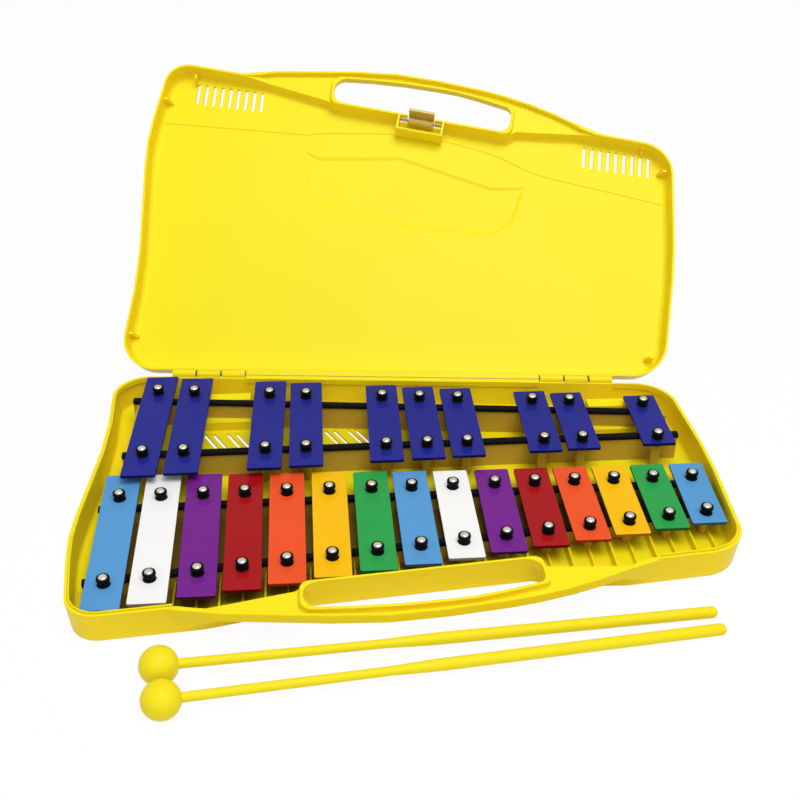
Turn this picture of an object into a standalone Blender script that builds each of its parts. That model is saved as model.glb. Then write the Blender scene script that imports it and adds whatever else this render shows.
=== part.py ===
"""A 25 note metallophone in a moulded carry case with its lid open, and its two mallets.

Lengths are in millimetres and become metres where a mesh is made. X runs along the row of
bars, Y to the rear, Z up. The origin lies on the underside of the tray, below natural bar 8.
"""

import math

import bmesh
import bpy
from mathutils import Matrix, Vector

MM = 0.001

# Clearances
GAP = 0.3
CUT = 1.0

# Case shell
TRAY_HEIGHT = 24.0
LID_HEIGHT = 18.0
LID_SEAT = 0.3
WALL = 2.0
FLOOR = 2.0
DRAFT_ANGLE = math.radians(4.8)
FOOT_RADIUS = 3.0
TRAY_FILLET = 2.0
LID_FILLET = 5.0
FILLET_STEPS = 3
ARC_ANGLE = math.radians(18)

# Corners of the case wall at its rim, seen from above: x, y and corner radius
FRONT_LEFT = (-224.9, -132.8, 21.0)
FRONT_BEND_LEFT = [(-141.0, -125.4, 30.0), (-83.5, -113.1, 6.0)]
SLOT_WALL = ((-76.0, -108.6, 6.0), (75.0, -93.9, 5.0))
FRONT_BEND_RIGHT = [(81.5, -99.6, 5.0), (137.0, -102.3, 30.0)]
FRONT_RIGHT = (219.6, -93.5, 30.0)
RIGHT_SIDE = [(225.3, 12.0, 320.0)]
REAR_RIGHT = (220.2, 31.0)
REAR_LEFT = (-229.0, 27.0)
LEFT_SIDE = [(-224.6, 62.0, 250.0), (-235.2, -55.0, 200.0)]

# Carrying handle in front of the case wall: a plate with a lip along its edge
HANDLE_FRONT = [
    (-168.0, -126.0, 1.0),
    (-150.0, -128.6, 30.0),
    (-133.0, -132.6, 60.0),
    (-25.0, -142.6, 330.0),
    (62.0, -131.0, 160.0),
    (105.0, -120.2, 160.0),
    (157.0, -98.6, 20.0),
    (175.0, -97.2, 1.0),
]
HANDLE_BACK = [(170.0, -88.0, 1.0), (70.0, -86.0, 1.0), (-75.0, -100.0, 1.0), (-140.0, -112.0, 1.0)]
HANDLE_EDGE = ((0.6, 0.4), (0.0, 1.2), (0.0, 7.0), (0.5, 7.5))
HANDLE_LIP = 2.3
PLATE_DEPTH = 5.5
PLATE_ENDS = (-139.0, 137.0)
RAMP_TOPS = ((-159.0, -124.7), (158.0, -96.5))
RAMP_FEET = ((-139.0, -128.8), (137.0, -104.4))
RAMP_REAR = ((-163.0, -112.0), (160.0, -90.0))
FLARE_TOPS = ((-163.0, -127.2), (157.6, -100.0))
FLARE_BASES = ((-163.0, -122.4), (157.6, -95.6))
FLARE_ENDS = ((-131.0, -132.4), (128.5, -110.2))
FLARE_REAR = ((-118.0, -118.0), (-92.0, -96.0))

# Hole for the fingers, with a ring round it
GRIP_FRONT = [
    (-78.6, -130.4, 11.0),
    (-32.0, -131.8, 300.0),
    (30.0, -127.6, 200.0),
    (77.6, -116.1, 7.5),
]
GRIP_REAR = ((76.4, 9.0), (-78.6, 9.5))
RING_SECTION = ((-1.8, 0.0), (-2.4, 0.6), (-2.4, 3.5), (-3.0, 4.7), (-4.6, 5.6), (-4.6, 7.3))
LID_RING_DROP = 0.2

# Tongue on the tray's rim that the lid closes over
TONGUE_SECTION = ((1.5, 4.0), (1.5, 0.8), (2.35, 0.8), (2.35, -1.0), (3.4, -1.0), (3.4, 3.4))
TONGUE_EASE = 1.05
TONGUE_GAP = ((-159.3, -150.0), (158.2, -85.0))
HINGE_ZONE = (61.0, 8.0)

# Hinge line at the rear, which runs at a slant to the bars
HINGE_Y = 134.9
HINGE_Z = TRAY_HEIGHT + LID_SEAT / 2
HINGE_SLANT = math.radians(-4.7)
HINGE_SETBACK = 3.5
LID_OPEN = math.radians(136.8)
HINGE_CENTRES = (-153.5, 147.5)
KNUCKLE_LENGTH = 19.6
KNUCKLE_RADIUS = 3.2
KNUCKLE_ARM = 8.0
PIN_RADIUS = 1.3
LIP_THICKNESS = 1.3
LIP_GAP = 0.2

# Rows of bars: value at position 0 and change for each position along the row
PITCH = 29.5
MIDDLE_STEPS = 7
BAR_WIDTH = 25.0
BAR_THICKNESS = 2.5
BAR_CORNER = 1.5
HOLE_RADIUS = 4.3
NATURALS = {
    "top": 19.0,
    "front_end": (-120.6, 4.35),
    "front_screw": (-96.6, 3.45),
    "rear_screw": (-8.0, 0.0),
    "rear_end": (13.2, -0.22),
    "rear_bend": (8, 0.85),
    "front_strip": (-88.6, 3.28),
    "rear_strip": (-13.9, 0.36),
    "reach": (-221.0, 217.0),
    "leans": (
        (1.2, -0.2),
        (0.2, -0.7),
        (1.3, -1.0),
        (0.3, -1.0),
        (-0.3, -0.7),
        (0.0, 0.0),
        (0.6, 0.7),
        (0.7, -0.3),
        (0.7, 0.0),
        (0.3, 1.2),
        (0.2, 0.9),
        (0.5, 0.3),
        (-0.5, 0.0),
        (-1.2, -0.5),
        (-3.0, -0.4),
    ),
}
ACCIDENTALS = {
    "top": 27.5,
    "front_end": (6.5, 1.33),
    "front_screw": (32.3, 0.0),
    "rear_screw": (116.9, -2.92),
    "rear_end": (142.2, -3.78),
    "rear_bend": (0, 0.0),
    "front_strip": (38.2, 0.25),
    "rear_strip": (111.8, -2.83),
    "reach": (-210.0, 209.0),
    "leans": (
        (-3.3, 2.5),
        (-2.7, 1.1),
        (-2.2, 1.2),
        (-1.4, 0.0),
        (-1.2, 0.9),
        (0.2, 0.4),
        (0.7, 0.7),
        (-0.3, 0.5),
        (-0.6, 0.0),
        (-1.8, -1.2),
    ),
}
NATURAL_STEPS = tuple(range(15))
NATURAL_COLOURS = (
    ("sky", (0.09, 0.31, 0.63)),
    ("white", (0.85, 0.85, 0.85)),
    ("purple", (0.16, 0.02, 0.25)),
    ("red", (0.38, 0.012, 0.014)),
    ("orange", (0.79, 0.075, 0.02)),
    ("amber", (0.96, 0.52, 0.006)),
    ("green", (0.04, 0.40, 0.095)),
)
ACCIDENTAL_STEPS = (0.5, 1.5, 3.5, 4.5, 6.5, 7.5, 8.5, 10.5, 11.5, 13.5)

# Felt strips on moulded rails, and the rubber sleeves of the screws on posts beside them
STRIP_WIDTH = 5.4
STRIP_THICKNESS = 3.2
SLEEVE_RADIUS = 3.8
SLEEVE_HEIGHT = 5.2
HEAD_RADIUS = 3.3
HEAD_HEIGHT = 1.8
SLEEVE_SIDES = 8
HOLE_SIDES = 10
POST_SIDES = 10
TAB_WIDTH = 4.0
RAIL_WIDTH = 3.0
POST_RADIUS = 3.5
END_WALLS = (-206.0, 203.6)
RIB_STEPS = range(2, 15)
RIB_WIDTH = 1.2
RIB_HEIGHT = 8.0
PADS = (((-162.0, 113.0), (-118.0, 123.0)), ((150.0, 87.0), (190.0, 98.6)))
PAD_TOP = 21.0
FLOOR_SLOTS = (-149.4, -142.4, -131.5, -124.4, -54.6, -47.5, -36.3, -30.1)
FLOOR_SLOT_Y = 83.0
FLOOR_SLOT_SIZE = (2.0, 22.0)
FLOOR_SLOT_ANGLE = math.radians(29)

# Latch, in the frame of the wall behind the grip hole
HOUSING = (41.0, 15.4)
HOUSING_WALL = 1.8
HOUSING_LEAN = 1.7
HOUSING_WELL = 13.5
TONGUE = (-11.5, 11.0)
TONGUE_THICKNESS = 2.4
TONGUE_REACH = (-6.0, 12.0)
LATCH_PIN = (2.2, 8.0)
LATCH_PIN_RADIUS = 1.2
LATCH_ROLL = 2.4
LATCH_WEB = 1.5
LATCH_INSET = 0.02
PIN_BITE = 0.7
CATCH = (8.0, 1.0, 2.4)
CATCH_DROP = 4.4

# Vent slots in the lid: first centre and slope of the row
VENTS = ((-199.7, -111.0, 0.039), (145.0, -84.0, 0.080))
VENT_COUNT = 9
VENT_PITCH = 7.1
VENT_WIDTH = 2.2
VENT_LENGTH = 18.6

# Bare plaque on the lid's inner face
PLAQUE = [
    (-96.3, -62.0),
    (-85.3, -58.3),
    (-15.6, -65.3),
    (65.0, -44.8),
    (91.2, -47.3),
    (84.5, -18.5),
    (68.0, -5.8),
    (-10.0, -7.3),
    (-89.5, -24.8),
]
PLAQUE_DEPTH = 0.6

# Mallets
BALL_DIAMETER = 24.5
BALL_GAP = 2.88
FIRST_BALL = (-165.1, -162.9)
BALL_TURN = math.radians(-81.8)
STICK_ENDS = ((188.9, -131.1), (189.7, -146.6))
STICK_END_HEIGHT = 4.1
SOCKET_DEPTH = 10.0
STICK_PROFILE = ((0.0, 3.1), (0.36, 2.9), (0.41, 3.5), (0.46, 3.9), (0.985, 3.9))
STICK_SIDES = 12

YELLOW = (0.95, 0.80, 0.02)


def rounded(corners):
    """The outline through these corners, each (x, y, radius), with its arcs as short runs."""
    points = []
    count = len(corners)
    for index, (x, y, radius) in enumerate(corners):
        here = Vector((x, y))
        to_last = (Vector(corners[index - 1][:2]) - here).normalized()
        to_next = (Vector(corners[(index + 1) % count][:2]) - here).normalized()
        turn = math.pi - to_last.angle(to_next)
        if radius <= 0 or turn < 1e-4:
            points.append(here)
            continue
        centre = here + (to_last + to_next).normalized() * radius / math.cos(turn / 2)
        start = here + to_last * radius * math.tan(turn / 2) - centre
        way = math.copysign(1, -to_last.cross(to_next))
        steps = max(1, round(turn / ARC_ANGLE))
        for step in range(steps + 1):
            angle = way * turn * step / steps
            points.append(centre + Matrix.Rotation(angle, 2) @ start)
    return points


def inset(points, distance):
    """The outline moved inwards by this distance."""
    moved = []
    count = len(points)
    for index, point in enumerate(points):
        before = (point - points[index - 1]).normalized()
        after = (points[(index + 1) % count] - point).normalized()
        normal = Vector((-before.y - after.y, before.x + after.x)).normalized()
        share = max(0.3, normal.dot(Vector((-before.y, before.x))))
        moved.append(point + normal * distance / share)
    return moved


def drawn_in(corners, distance):
    """The corners moved inwards by this distance, each with its arc about the same centre."""
    moved = inset([Vector(corner[:2]) for corner in corners], distance)
    made = []
    for index, point in enumerate(moved):
        before = point - moved[index - 1]
        after = moved[(index + 1) % len(moved)] - point
        radius = corners[index][2] - math.copysign(distance, before.cross(after))
        made.append((point.x, point.y, max(radius, GAP)))
    return made


def material(name, colour, roughness, metallic=0.0):
    made = bpy.data.materials.get(name)
    if made is None:
        made = bpy.data.materials.new(name)
        made.use_nodes = True
        shader = made.node_tree.nodes["Principled BSDF"]
        shader.inputs["Base Color"].default_value = (*colour, 1)
        shader.inputs["Roughness"].default_value = roughness
        shader.inputs["Metallic"].default_value = metallic
    return made


def new_object(name, shape):
    """An object from a bmesh in millimetres, with its faces pointing out."""
    bmesh.ops.recalc_face_normals(shape, faces=shape.faces)
    bmesh.ops.scale(shape, vec=(MM, MM, MM), verts=shape.verts)
    mesh = bpy.data.meshes.new(name)
    shape.to_mesh(mesh)
    shape.free()
    made = bpy.data.objects.new(name, mesh)
    bpy.context.scene.collection.objects.link(made)
    return made


def slab(name, points, z_start, z_end, taper=0.0):
    """An upright block on an outline, drawn in by taper at its z_end."""
    shape = bmesh.new()
    start = [shape.verts.new((p.x, p.y, z_start)) for p in points]
    end = [shape.verts.new((p.x, p.y, z_end)) for p in inset(points, taper)]
    shape.faces.new(start)
    shape.faces.new(end)
    count = len(points)
    for index in range(count):
        after = (index + 1) % count
        shape.faces.new((start[index], start[after], end[after], end[index]))
    return new_object(name, shape)


def sweep(name, corners, rim, away, profile, closed=False):
    """A block from outlines drawn in by the profile's (inset, depth below the rim) pairs.

    A closed profile makes a band that runs round the outline instead."""
    shape = bmesh.new()
    rings = []
    for distance, depth in profile:
        ring = rounded(drawn_in(corners, distance))
        rings.append([shape.verts.new((p.x, p.y, rim + away * depth)) for p in ring])
    pairs = list(zip(rings, rings[1:]))
    if closed:
        pairs.append((rings[-1], rings[0]))
    else:
        shape.faces.new(rings[0])
        shape.faces.new(rings[-1])
    for low, high in pairs:
        for index in range(len(low)):
            after = (index + 1) % len(low)
            shape.faces.new((low[index], low[after], high[after], high[index]))
    bmesh.ops.triangulate(shape, faces=shape.faces)
    return new_object(name, shape)


def hull(name, points):
    """The smallest block that holds these points."""
    shape = bmesh.new()
    for point in points:
        shape.verts.new(point)
    made = bmesh.ops.convex_hull(shape, input=shape.verts)
    inside = [item for item in made["geom_interior"] if isinstance(item, bmesh.types.BMVert)]
    bmesh.ops.delete(shape, geom=inside, context="VERTS")
    return new_object(name, shape)


def lathe(name, profile, sides):
    """A body turned about its own Z from (radius, z) pairs, closed at both ends."""
    shape = bmesh.new()
    rings = []
    for radius, z in profile:
        ring = []
        for side in range(sides):
            angle = 2 * math.pi * side / sides
            ring.append(shape.verts.new((radius * math.cos(angle), radius * math.sin(angle), z)))
        rings.append(ring)
    for low, high in zip(rings, rings[1:]):
        for side in range(sides):
            after = (side + 1) % sides
            shape.faces.new((low[side], low[after], high[after], high[side]))
    shape.faces.new(rings[0])
    shape.faces.new(rings[-1])
    return new_object(name, shape)


def rod(name, radius, start, end, sides):
    """A round bar along X."""
    made = lathe(name, ((radius, start), (radius, end)), sides)
    return place(made, Matrix.Rotation(math.pi / 2, 4, "Y"))


def box(name, low, high):
    corners = [Vector((low[0], low[1])), Vector((high[0], low[1]))]
    corners += [Vector((high[0], high[1])), Vector((low[0], high[1]))]
    return slab(name, corners, low[2], high[2])


def beam(name, ends, width, low, high):
    """An upright wall of this width between two points."""
    start, end = ends
    side = Vector((start.y - end.y, end.x - start.x)).normalized() * width / 2
    return slab(name, [start - side, end - side, end + side, start + side], low, high)


def combine(target, tools, operation):
    """The target joined with or cut by each tool in turn. The tools are used up."""
    for tool in tools:
        step = target.modifiers.new("step", "BOOLEAN")
        step.operation = operation
        step.solver = "EXACT"
        step.object = tool
        bpy.context.view_layer.update()
        graph = bpy.context.evaluated_depsgraph_get()
        made = bpy.data.meshes.new_from_object(target.evaluated_get(graph))
        target.modifiers.remove(step)
        old = target.data
        target.data = made
        bpy.data.meshes.remove(old)
        made.name = target.name
        bpy.data.objects.remove(tool)
    return target


def place(made, matrix):
    """Moves the mesh itself, with the shift given in millimetres."""
    made.data.transform(Matrix.Translation(matrix.to_translation() * MM) @ matrix.to_3x3().to_4x4())
    return made


def finished(made, finish, degrees=35):
    made.data.materials.clear()
    made.data.materials.append(finish)
    made.data.shade_smooth()
    made.data.set_sharp_from_angle(angle=math.radians(degrees))
    return made


def row_y(row, edge, position):
    start, step = row[edge]
    return start + step * position


def row_x(position):
    return (position - MIDDLE_STEPS) * PITCH


def rear_y(x):
    """The outer face of the rear wall, which runs beside the hinge line."""
    return HINGE_Y - HINGE_SETBACK / math.cos(HINGE_SLANT) + math.tan(HINGE_SLANT) * x


def hinge_frame(along=0.0):
    """A frame on the hinge line: X along it, Y to the rear, Z up."""
    turn = Matrix.Rotation(HINGE_SLANT, 4, "Z")
    return Matrix.Translation((0, HINGE_Y, HINGE_Z)) @ turn @ Matrix.Translation((along, 0, 0))


def slot_slope():
    (x0, y0, _), (x1, y1, _) = SLOT_WALL
    return (y1 - y0) / (x1 - x0)


def slot_wall_y(x):
    """The outer face of the wall behind the grip hole."""
    return SLOT_WALL[0][1] + slot_slope() * (x - SLOT_WALL[0][0])


def slot_frame(height):
    """A frame on the outer face of the slot wall: X along it, Y into the case, Z up."""
    turn = Matrix.Rotation(math.atan(slot_slope()), 4, "Z")
    return Matrix.Translation((0, slot_wall_y(0), height)) @ turn


def wall_corners():
    corners = [FRONT_LEFT, *FRONT_BEND_LEFT, *SLOT_WALL, *FRONT_BEND_RIGHT, FRONT_RIGHT, *RIGHT_SIDE]
    for x, radius in (REAR_RIGHT, REAR_LEFT):
        corners.append((x, rear_y(x), radius))
    return corners + LEFT_SIDE


def grip_corners():
    rear = [(x, slot_wall_y(x) + 0.03, radius) for x, radius in GRIP_REAR]
    return GRIP_FRONT + rear


def drafted(depth, fillet, start=0.0, thickness=0.0):
    """A wall's (inset, depth) pairs from its rim to its rounded foot."""
    slope = math.tan(DRAFT_ANGLE)
    foot = depth - fillet
    rows = [(thickness + slope * start, start)]
    for step in range(FILLET_STEPS + 1):
        angle = math.pi / 2 * step / FILLET_STEPS
        across = fillet * (1 - math.cos(angle))
        rows.append((thickness + slope * foot + across, foot + fillet * math.sin(angle)))
    return rows


def ramp(side, rim, away):
    """What is cut off the wall's rim where it falls to the level of the handle's plate."""
    top, foot, rear = RAMP_TOPS[side], RAMP_FEET[side], RAMP_REAR[side][1]
    past = foot[0] + math.copysign(2, foot[0] - top[0])
    points = []
    for x, y, depth in (
        (*top, 0.0),
        (*top, -CUT),
        (*foot, PLATE_DEPTH),
        (past, foot[1], PLATE_DEPTH - 0.1),
        (past, foot[1], -CUT),
    ):
        points.append((x, y, rim + away * depth))
        points.append((x, rear, rim + away * depth))
    return hull("ramp", points)


def flare(side, rim, away, height):
    """The face that leads from the case wall out to the end of the handle's lip."""
    foot, edge = FLARE_ENDS[side], HANDLE_EDGE[-1][1]
    points = []
    for (x, y), depth, rear in (
        (FLARE_TOPS[side], 0.6, FLARE_REAR[side][0]),
        (FLARE_BASES[side], height - 0.2, FLARE_REAR[side][0]),
        (foot, 0.8, FLARE_REAR[side][1]),
        (foot, edge - 0.1, FLARE_REAR[side][1]),
    ):
        points.append((x, y, rim + away * depth))
        points.append((x, rear, rim + away * depth))
    return hull("flare", points)


def shell(name, rim, away, height, fillet, ring_drop):
    """Half of the case: walls, floor and handle. away is -1 for the tray and 1 for the lid."""
    wall = wall_corners()
    handle = HANDLE_FRONT + HANDLE_BACK
    grip = grip_corners()
    half = sweep(name, wall, rim, away, drafted(height, FOOT_RADIUS))
    parts = [sweep("handle", handle, rim, away, HANDLE_EDGE)]
    parts += [flare(side, rim, away, height) for side in (0, 1)]
    combine(half, parts, "UNION")
    recess = sweep("recess", handle, rim, away, ((HANDLE_LIP, -CUT), (HANDLE_LIP, PLATE_DEPTH)))
    low, high = sorted((rim - away * 2 * CUT, rim + away * height))
    ends = box("ends", (PLATE_ENDS[0], -200, low), (PLATE_ENDS[1], 0, high))
    combine(recess, [ends], "INTERSECT")
    combine(half, [recess, *(ramp(side, rim, away) for side in (0, 1))], "DIFFERENCE")
    section = [(distance, max(depth, ring_drop)) for distance, depth in RING_SECTION]
    combine(half, [sweep("ring", grip, rim, away, section)], "UNION")
    slope = math.tan(DRAFT_ANGLE)
    deep = height + CUT
    hole = sweep("hole", grip, rim, away, ((slope * CUT, -CUT), (-slope * deep, deep)))
    hollow = sweep("hollow", wall, rim, away, drafted(height - FLOOR, fillet, -CUT, WALL))
    return combine(half, [hole, hollow], "DIFFERENCE")


def knuckle(name, up, length):
    """A hinge barrel with its arm to the wall, above (up 1) or below (up -1) the hinge line."""
    barrel = rod(name, KNUCKLE_RADIUS, -length / 2, length / 2, 16)
    low, high = sorted((up * KNUCKLE_ARM, up * LID_SEAT / 2))
    arm = box("arm", (-length / 2, -HINGE_SETBACK - WALL / 2, low), (length / 2, 0.0, high))
    combine(barrel, [arm], "UNION")
    return combine(barrel, [rod("drill", PIN_RADIUS + GAP, -length, length, 12)], "DIFFERENCE")


def hinge_lip(up):
    """A lip from the rear wall to the hinge line, between the two hinges."""
    left, right = HINGE_CENTRES
    clear = 1.5 * KNUCKLE_LENGTH + 3 * GAP
    near = LID_SEAT / 2 + LIP_GAP / 4
    low, high = sorted((up * near, up * (near + LIP_THICKNESS)))
    start = (left + clear, -HINGE_SETBACK - WALL / 2, low)
    return place(box("lip", start, (right - clear, -LIP_GAP, high)), hinge_frame())


def strip_top(row):
    return row["top"] - BAR_THICKNESS - GAP


def rail_top(row):
    return strip_top(row) - STRIP_THICKNESS - GAP


def strip_line(row, edge):
    """Both ends of a felt strip's centre line."""
    return [Vector((x, row_y(row, edge, x / PITCH + MIDDLE_STEPS))) for x in row["reach"]]


def bar_ends(row, position):
    """Where a bar starts and ends. Left of the bend the rear ends run back faster."""
    bend, step = row["rear_bend"]
    rear = row_y(row, "rear_end", position) + step * max(0, bend - position)
    return row_y(row, "front_end", position), rear


def lean(row, positions, position, y):
    """How far a bar's centre line stands to the right of its place at this y."""
    front, rear = row["leans"][positions.index(position)]
    start, end = bar_ends(row, position)
    return front + (rear - front) * (y - start) / (end - start)


def screw_spot(row, positions, edge, position):
    y = row_y(row, edge, position)
    return Vector((row_x(position) + lean(row, positions, position, y), y))


def front_rib(position):
    """A thin rib from the front wall to the front rail, halfway between two bars."""
    x = row_x(position)
    rear = Vector((x, row_y(NATURALS, "front_strip", position)))
    middle = WALL / 2 + math.tan(DRAFT_ANGLE) * (TRAY_HEIGHT - RIB_HEIGHT / 2)
    outline = rounded(drawn_in(wall_corners(), middle))
    for before, after in zip(outline, outline[1:]):
        if before.x < after.x and before.x <= x <= after.x:
            front = before.lerp(after, (x - before.x) / (after.x - before.x))
            return beam("rib", [front, rear], RIB_WIDTH, FLOOR / 2, RIB_HEIGHT)
    return None


def rim_tongue():
    """The thin band inside the rim, left out along the handle and at the hinges."""
    corners = [(x, y, radius * TONGUE_EASE) for x, y, radius in wall_corners()]
    band = sweep("tongue", corners, TRAY_HEIGHT, -1, TONGUE_SECTION, True)
    low, high = TONGUE_GAP
    gaps = [box("gap", (*low, 0), (*high, TRAY_HEIGHT + 2 * CUT))]
    length, depth = HINGE_ZONE
    for centre in HINGE_CENTRES:
        zone = box("zone", (-length / 2, -HINGE_SETBACK - depth, -depth), (length / 2, depth, depth))
        gaps.append(place(zone, hinge_frame(centre)))
    return combine(band, gaps, "DIFFERENCE")


def make_tray(yellow):
    tray = shell("tray", TRAY_HEIGHT, -1, TRAY_HEIGHT, TRAY_FILLET, 0.0)
    parts = [rim_tongue()]
    for row, positions in ((NATURALS, NATURAL_STEPS), (ACCIDENTALS, ACCIDENTAL_STEPS)):
        top = rail_top(row)
        for side in ("front", "rear"):
            ends = strip_line(row, f"{side}_strip")
            parts.append(beam("rail", ends, RAIL_WIDTH, FLOOR / 2, top))
            for position in positions:
                post = lathe("post", ((POST_RADIUS, FLOOR / 2), (POST_RADIUS, top - 0.02)), POST_SIDES)
                spot = screw_spot(row, positions, f"{side}_screw", position)
                parts.append(place(post, Matrix.Translation((*spot, 0))))
    for x in END_WALLS:
        position = x / PITCH + MIDDLE_STEPS
        ends = [Vector((x, row_y(ACCIDENTALS, edge, position))) for edge in ("front_strip", "rear_strip")]
        parts.append(beam("end_wall", ends, WALL, FLOOR / 2, rail_top(ACCIDENTALS) - 0.04))
    parts += [front_rib(position - 0.5) for position in RIB_STEPS]
    for low, high in PADS:
        parts.append(box("pad", (*low, FLOOR / 2), (*high, PAD_TOP)))
    for centre in HINGE_CENTRES:
        parts.append(place(knuckle("tray_knuckle", -1, KNUCKLE_LENGTH), hinge_frame(centre)))
    parts.append(hinge_lip(-1))
    combine(tray, parts, "UNION")
    width, depth, tall = CATCH
    notch = box("notch", (-width / 2, -CUT, -CATCH_DROP - tall), (width / 2, depth, -CATCH_DROP))
    cuts = [place(notch, slot_frame(TRAY_HEIGHT))]
    for low, high in PADS:
        under = ((low[0] + WALL, low[1] + WALL, -CUT), (high[0] - WALL, high[1] - WALL, PAD_TOP - WALL))
        cuts.append(box("under", *under))
    width, length = FLOOR_SLOT_SIZE
    for x in FLOOR_SLOTS:
        slot = box("slot", (-width / 2, -length / 2, -CUT), (width / 2, length / 2, FLOOR + CUT))
        turn = Matrix.Rotation(FLOOR_SLOT_ANGLE, 4, "Z")
        cuts.append(place(slot, Matrix.Translation((x, FLOOR_SLOT_Y, 0)) @ turn))
    combine(tray, cuts, "DIFFERENCE")
    return finished(tray, yellow)


def make_strip(name, row, side, positions, black):
    """A felt strip, and beside it a sleeve and a screw head for each bar on it."""
    top = strip_top(row)
    low = top - STRIP_THICKNESS
    start, end = strip_line(row, f"{side}_strip")
    strip = beam(name, (start, end), STRIP_WIDTH, low, top)
    neck = row["top"] + SLEEVE_HEIGHT
    profile = (
        (SLEEVE_RADIUS, low + 0.4),
        (SLEEVE_RADIUS, neck),
        (HEAD_RADIUS, neck + 0.1),
        (HEAD_RADIUS, neck + HEAD_HEIGHT),
    )
    studs = []
    for position in positions:
        spot = screw_spot(row, positions, f"{side}_screw", position)
        near = start.lerp(end, (spot.x - start.x) / (end.x - start.x))
        studs.append(place(lathe("stud", profile, SLEEVE_SIDES), Matrix.Translation((*spot, 0))))
        if abs(near.y - spot.y) > TAB_WIDTH / 2:
            studs.append(beam("tab", (near, spot), TAB_WIDTH, low + 0.8, top - 0.4))
    return finished(combine(strip, studs, "UNION"), black)


def make_bar(name, row, positions, position, finish):
    x = row_x(position)
    front, rear = bar_ends(row, position)
    shifts = row["leans"][positions.index(position)]
    low, high = row["top"] - BAR_THICKNESS, row["top"]
    half = BAR_WIDTH / 2
    corners = []
    for way, y, shift in ((-1, front, 0), (1, front, 0), (1, rear, 1), (-1, rear, 1)):
        corners.append((x + shifts[shift] + way * half, y, BAR_CORNER))
    bar = slab(name, rounded(corners), low, high)
    holes = []
    for edge in ("front_screw", "rear_screw"):
        hole = lathe("hole", ((HOLE_RADIUS, low - CUT), (HOLE_RADIUS, high + CUT)), HOLE_SIDES)
        spot = screw_spot(row, positions, edge, position)
        holes.append(place(hole, Matrix.Translation((*spot, 0))))
    return finished(combine(bar, holes, "DIFFERENCE"), finish)


def vents(ceiling):
    made = []
    for start_x, start_y, slope in VENTS:
        for index in range(VENT_COUNT):
            x = start_x + index * VENT_PITCH
            y = start_y + index * VENT_PITCH * slope
            low = (x - VENT_WIDTH / 2, y - VENT_LENGTH / 2, ceiling - CUT)
            high = (x + VENT_WIDTH / 2, y + VENT_LENGTH / 2, ceiling + FLOOR + CUT)
            made.append(box("vent", low, high))
    return made


def make_lid(yellow, opened):
    rim = TRAY_HEIGHT + LID_SEAT
    ceiling = rim + LID_HEIGHT - FLOOR
    lid = shell("lid", rim, 1, LID_HEIGHT, LID_FILLET, LID_RING_DROP)
    parts = [hinge_lip(1)]
    shift = KNUCKLE_LENGTH + 2 * GAP
    for centre in HINGE_CENTRES:
        for along in (centre - shift, centre + shift):
            parts.append(place(knuckle("lid_knuckle", 1, KNUCKLE_LENGTH), hinge_frame(along)))
    width, depth = HOUSING
    frame = slot_frame(rim)
    tall = LID_HEIGHT - FLOOR / 2
    corners = []
    for x in (-width / 2, width / 2):
        corners += [(x, WALL / 2, 0.02), (x, WALL / 2 + HOUSING_LEAN, tall), (x, depth, 0.02), (x, depth, tall)]
    block = hull("block", corners)
    combine(lid, [*parts, place(block, frame)], "UNION")
    inner = width / 2 - HOUSING_WALL
    well = box("well", (-inner, -CUT, -CUT), (inner, depth - HOUSING_WALL, HOUSING_WELL))
    pivot = frame @ Matrix.Translation((0, *LATCH_PIN))
    drill = rod("drill", LATCH_PIN_RADIUS + GAP, -inner - 1, inner + 1, 12)
    plaque = [Vector(corner) for corner in PLAQUE]
    cuts = [place(well, frame), place(drill, pivot), *vents(ceiling)]
    cuts.append(slab("plaque", plaque, ceiling - CUT, ceiling + PLAQUE_DEPTH))
    combine(lid, cuts, "DIFFERENCE")
    return finished(hang(lid, opened), yellow)


def hang(made, opened):
    """Puts a closed piece's origin on the hinge line and turns it with the lid."""
    place(made, hinge_frame().inverted())
    made.parent = opened
    return made


def make_latch(amber, steel, opened):
    """A tongue on a pin in the lid, with its lower end in front of the tray's slot wall."""
    start, end = TONGUE
    frame = slot_frame(TRAY_HEIGHT + LID_SEAT)
    pivot = frame @ Matrix.Translation((0, *LATCH_PIN))
    low, high = TONGUE_REACH
    front = -GAP - TONGUE_THICKNESS
    latch = place(box("latch", (start, front, low), (end, -GAP, high)), frame)
    roll = place(rod("roll", LATCH_ROLL, start + LATCH_INSET / 2, end - LATCH_INSET / 2, 12), pivot)
    across, centre = LATCH_PIN
    low = (start + LATCH_INSET, front + TONGUE_THICKNESS / 2, centre - LATCH_WEB)
    web = box("web", low, (end - LATCH_INSET, across, centre + LATCH_WEB))
    combine(latch, [roll, place(web, frame)], "UNION")
    drill = place(rod("drill", LATCH_PIN_RADIUS + GAP, 2 * start, 2 * end, 12), pivot)
    combine(latch, [drill], "DIFFERENCE")
    reach = HOUSING[0] / 2 - HOUSING_WALL + PIN_BITE
    pin = place(rod("latch_pin", LATCH_PIN_RADIUS, -reach, reach, 10), pivot)
    finished(hang(latch, opened), amber)
    finished(hang(pin, opened), steel)


def make_hinge_pins(steel):
    half = 1.5 * KNUCKLE_LENGTH + 2 * GAP
    for side, centre in zip(("left", "right"), HINGE_CENTRES):
        pin = rod(f"hinge_pin_{side}", PIN_RADIUS, -half, half, 10)
        finished(place(pin, hinge_frame(centre)), steel)


def ball_spot(number):
    """Where a mallet's ball lies: the second one lies beside the first."""
    apart = (number - 1) * (BALL_DIAMETER + BALL_GAP)
    return Vector(FIRST_BALL) + apart * Vector((math.cos(BALL_TURN), math.sin(BALL_TURN)))


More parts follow.
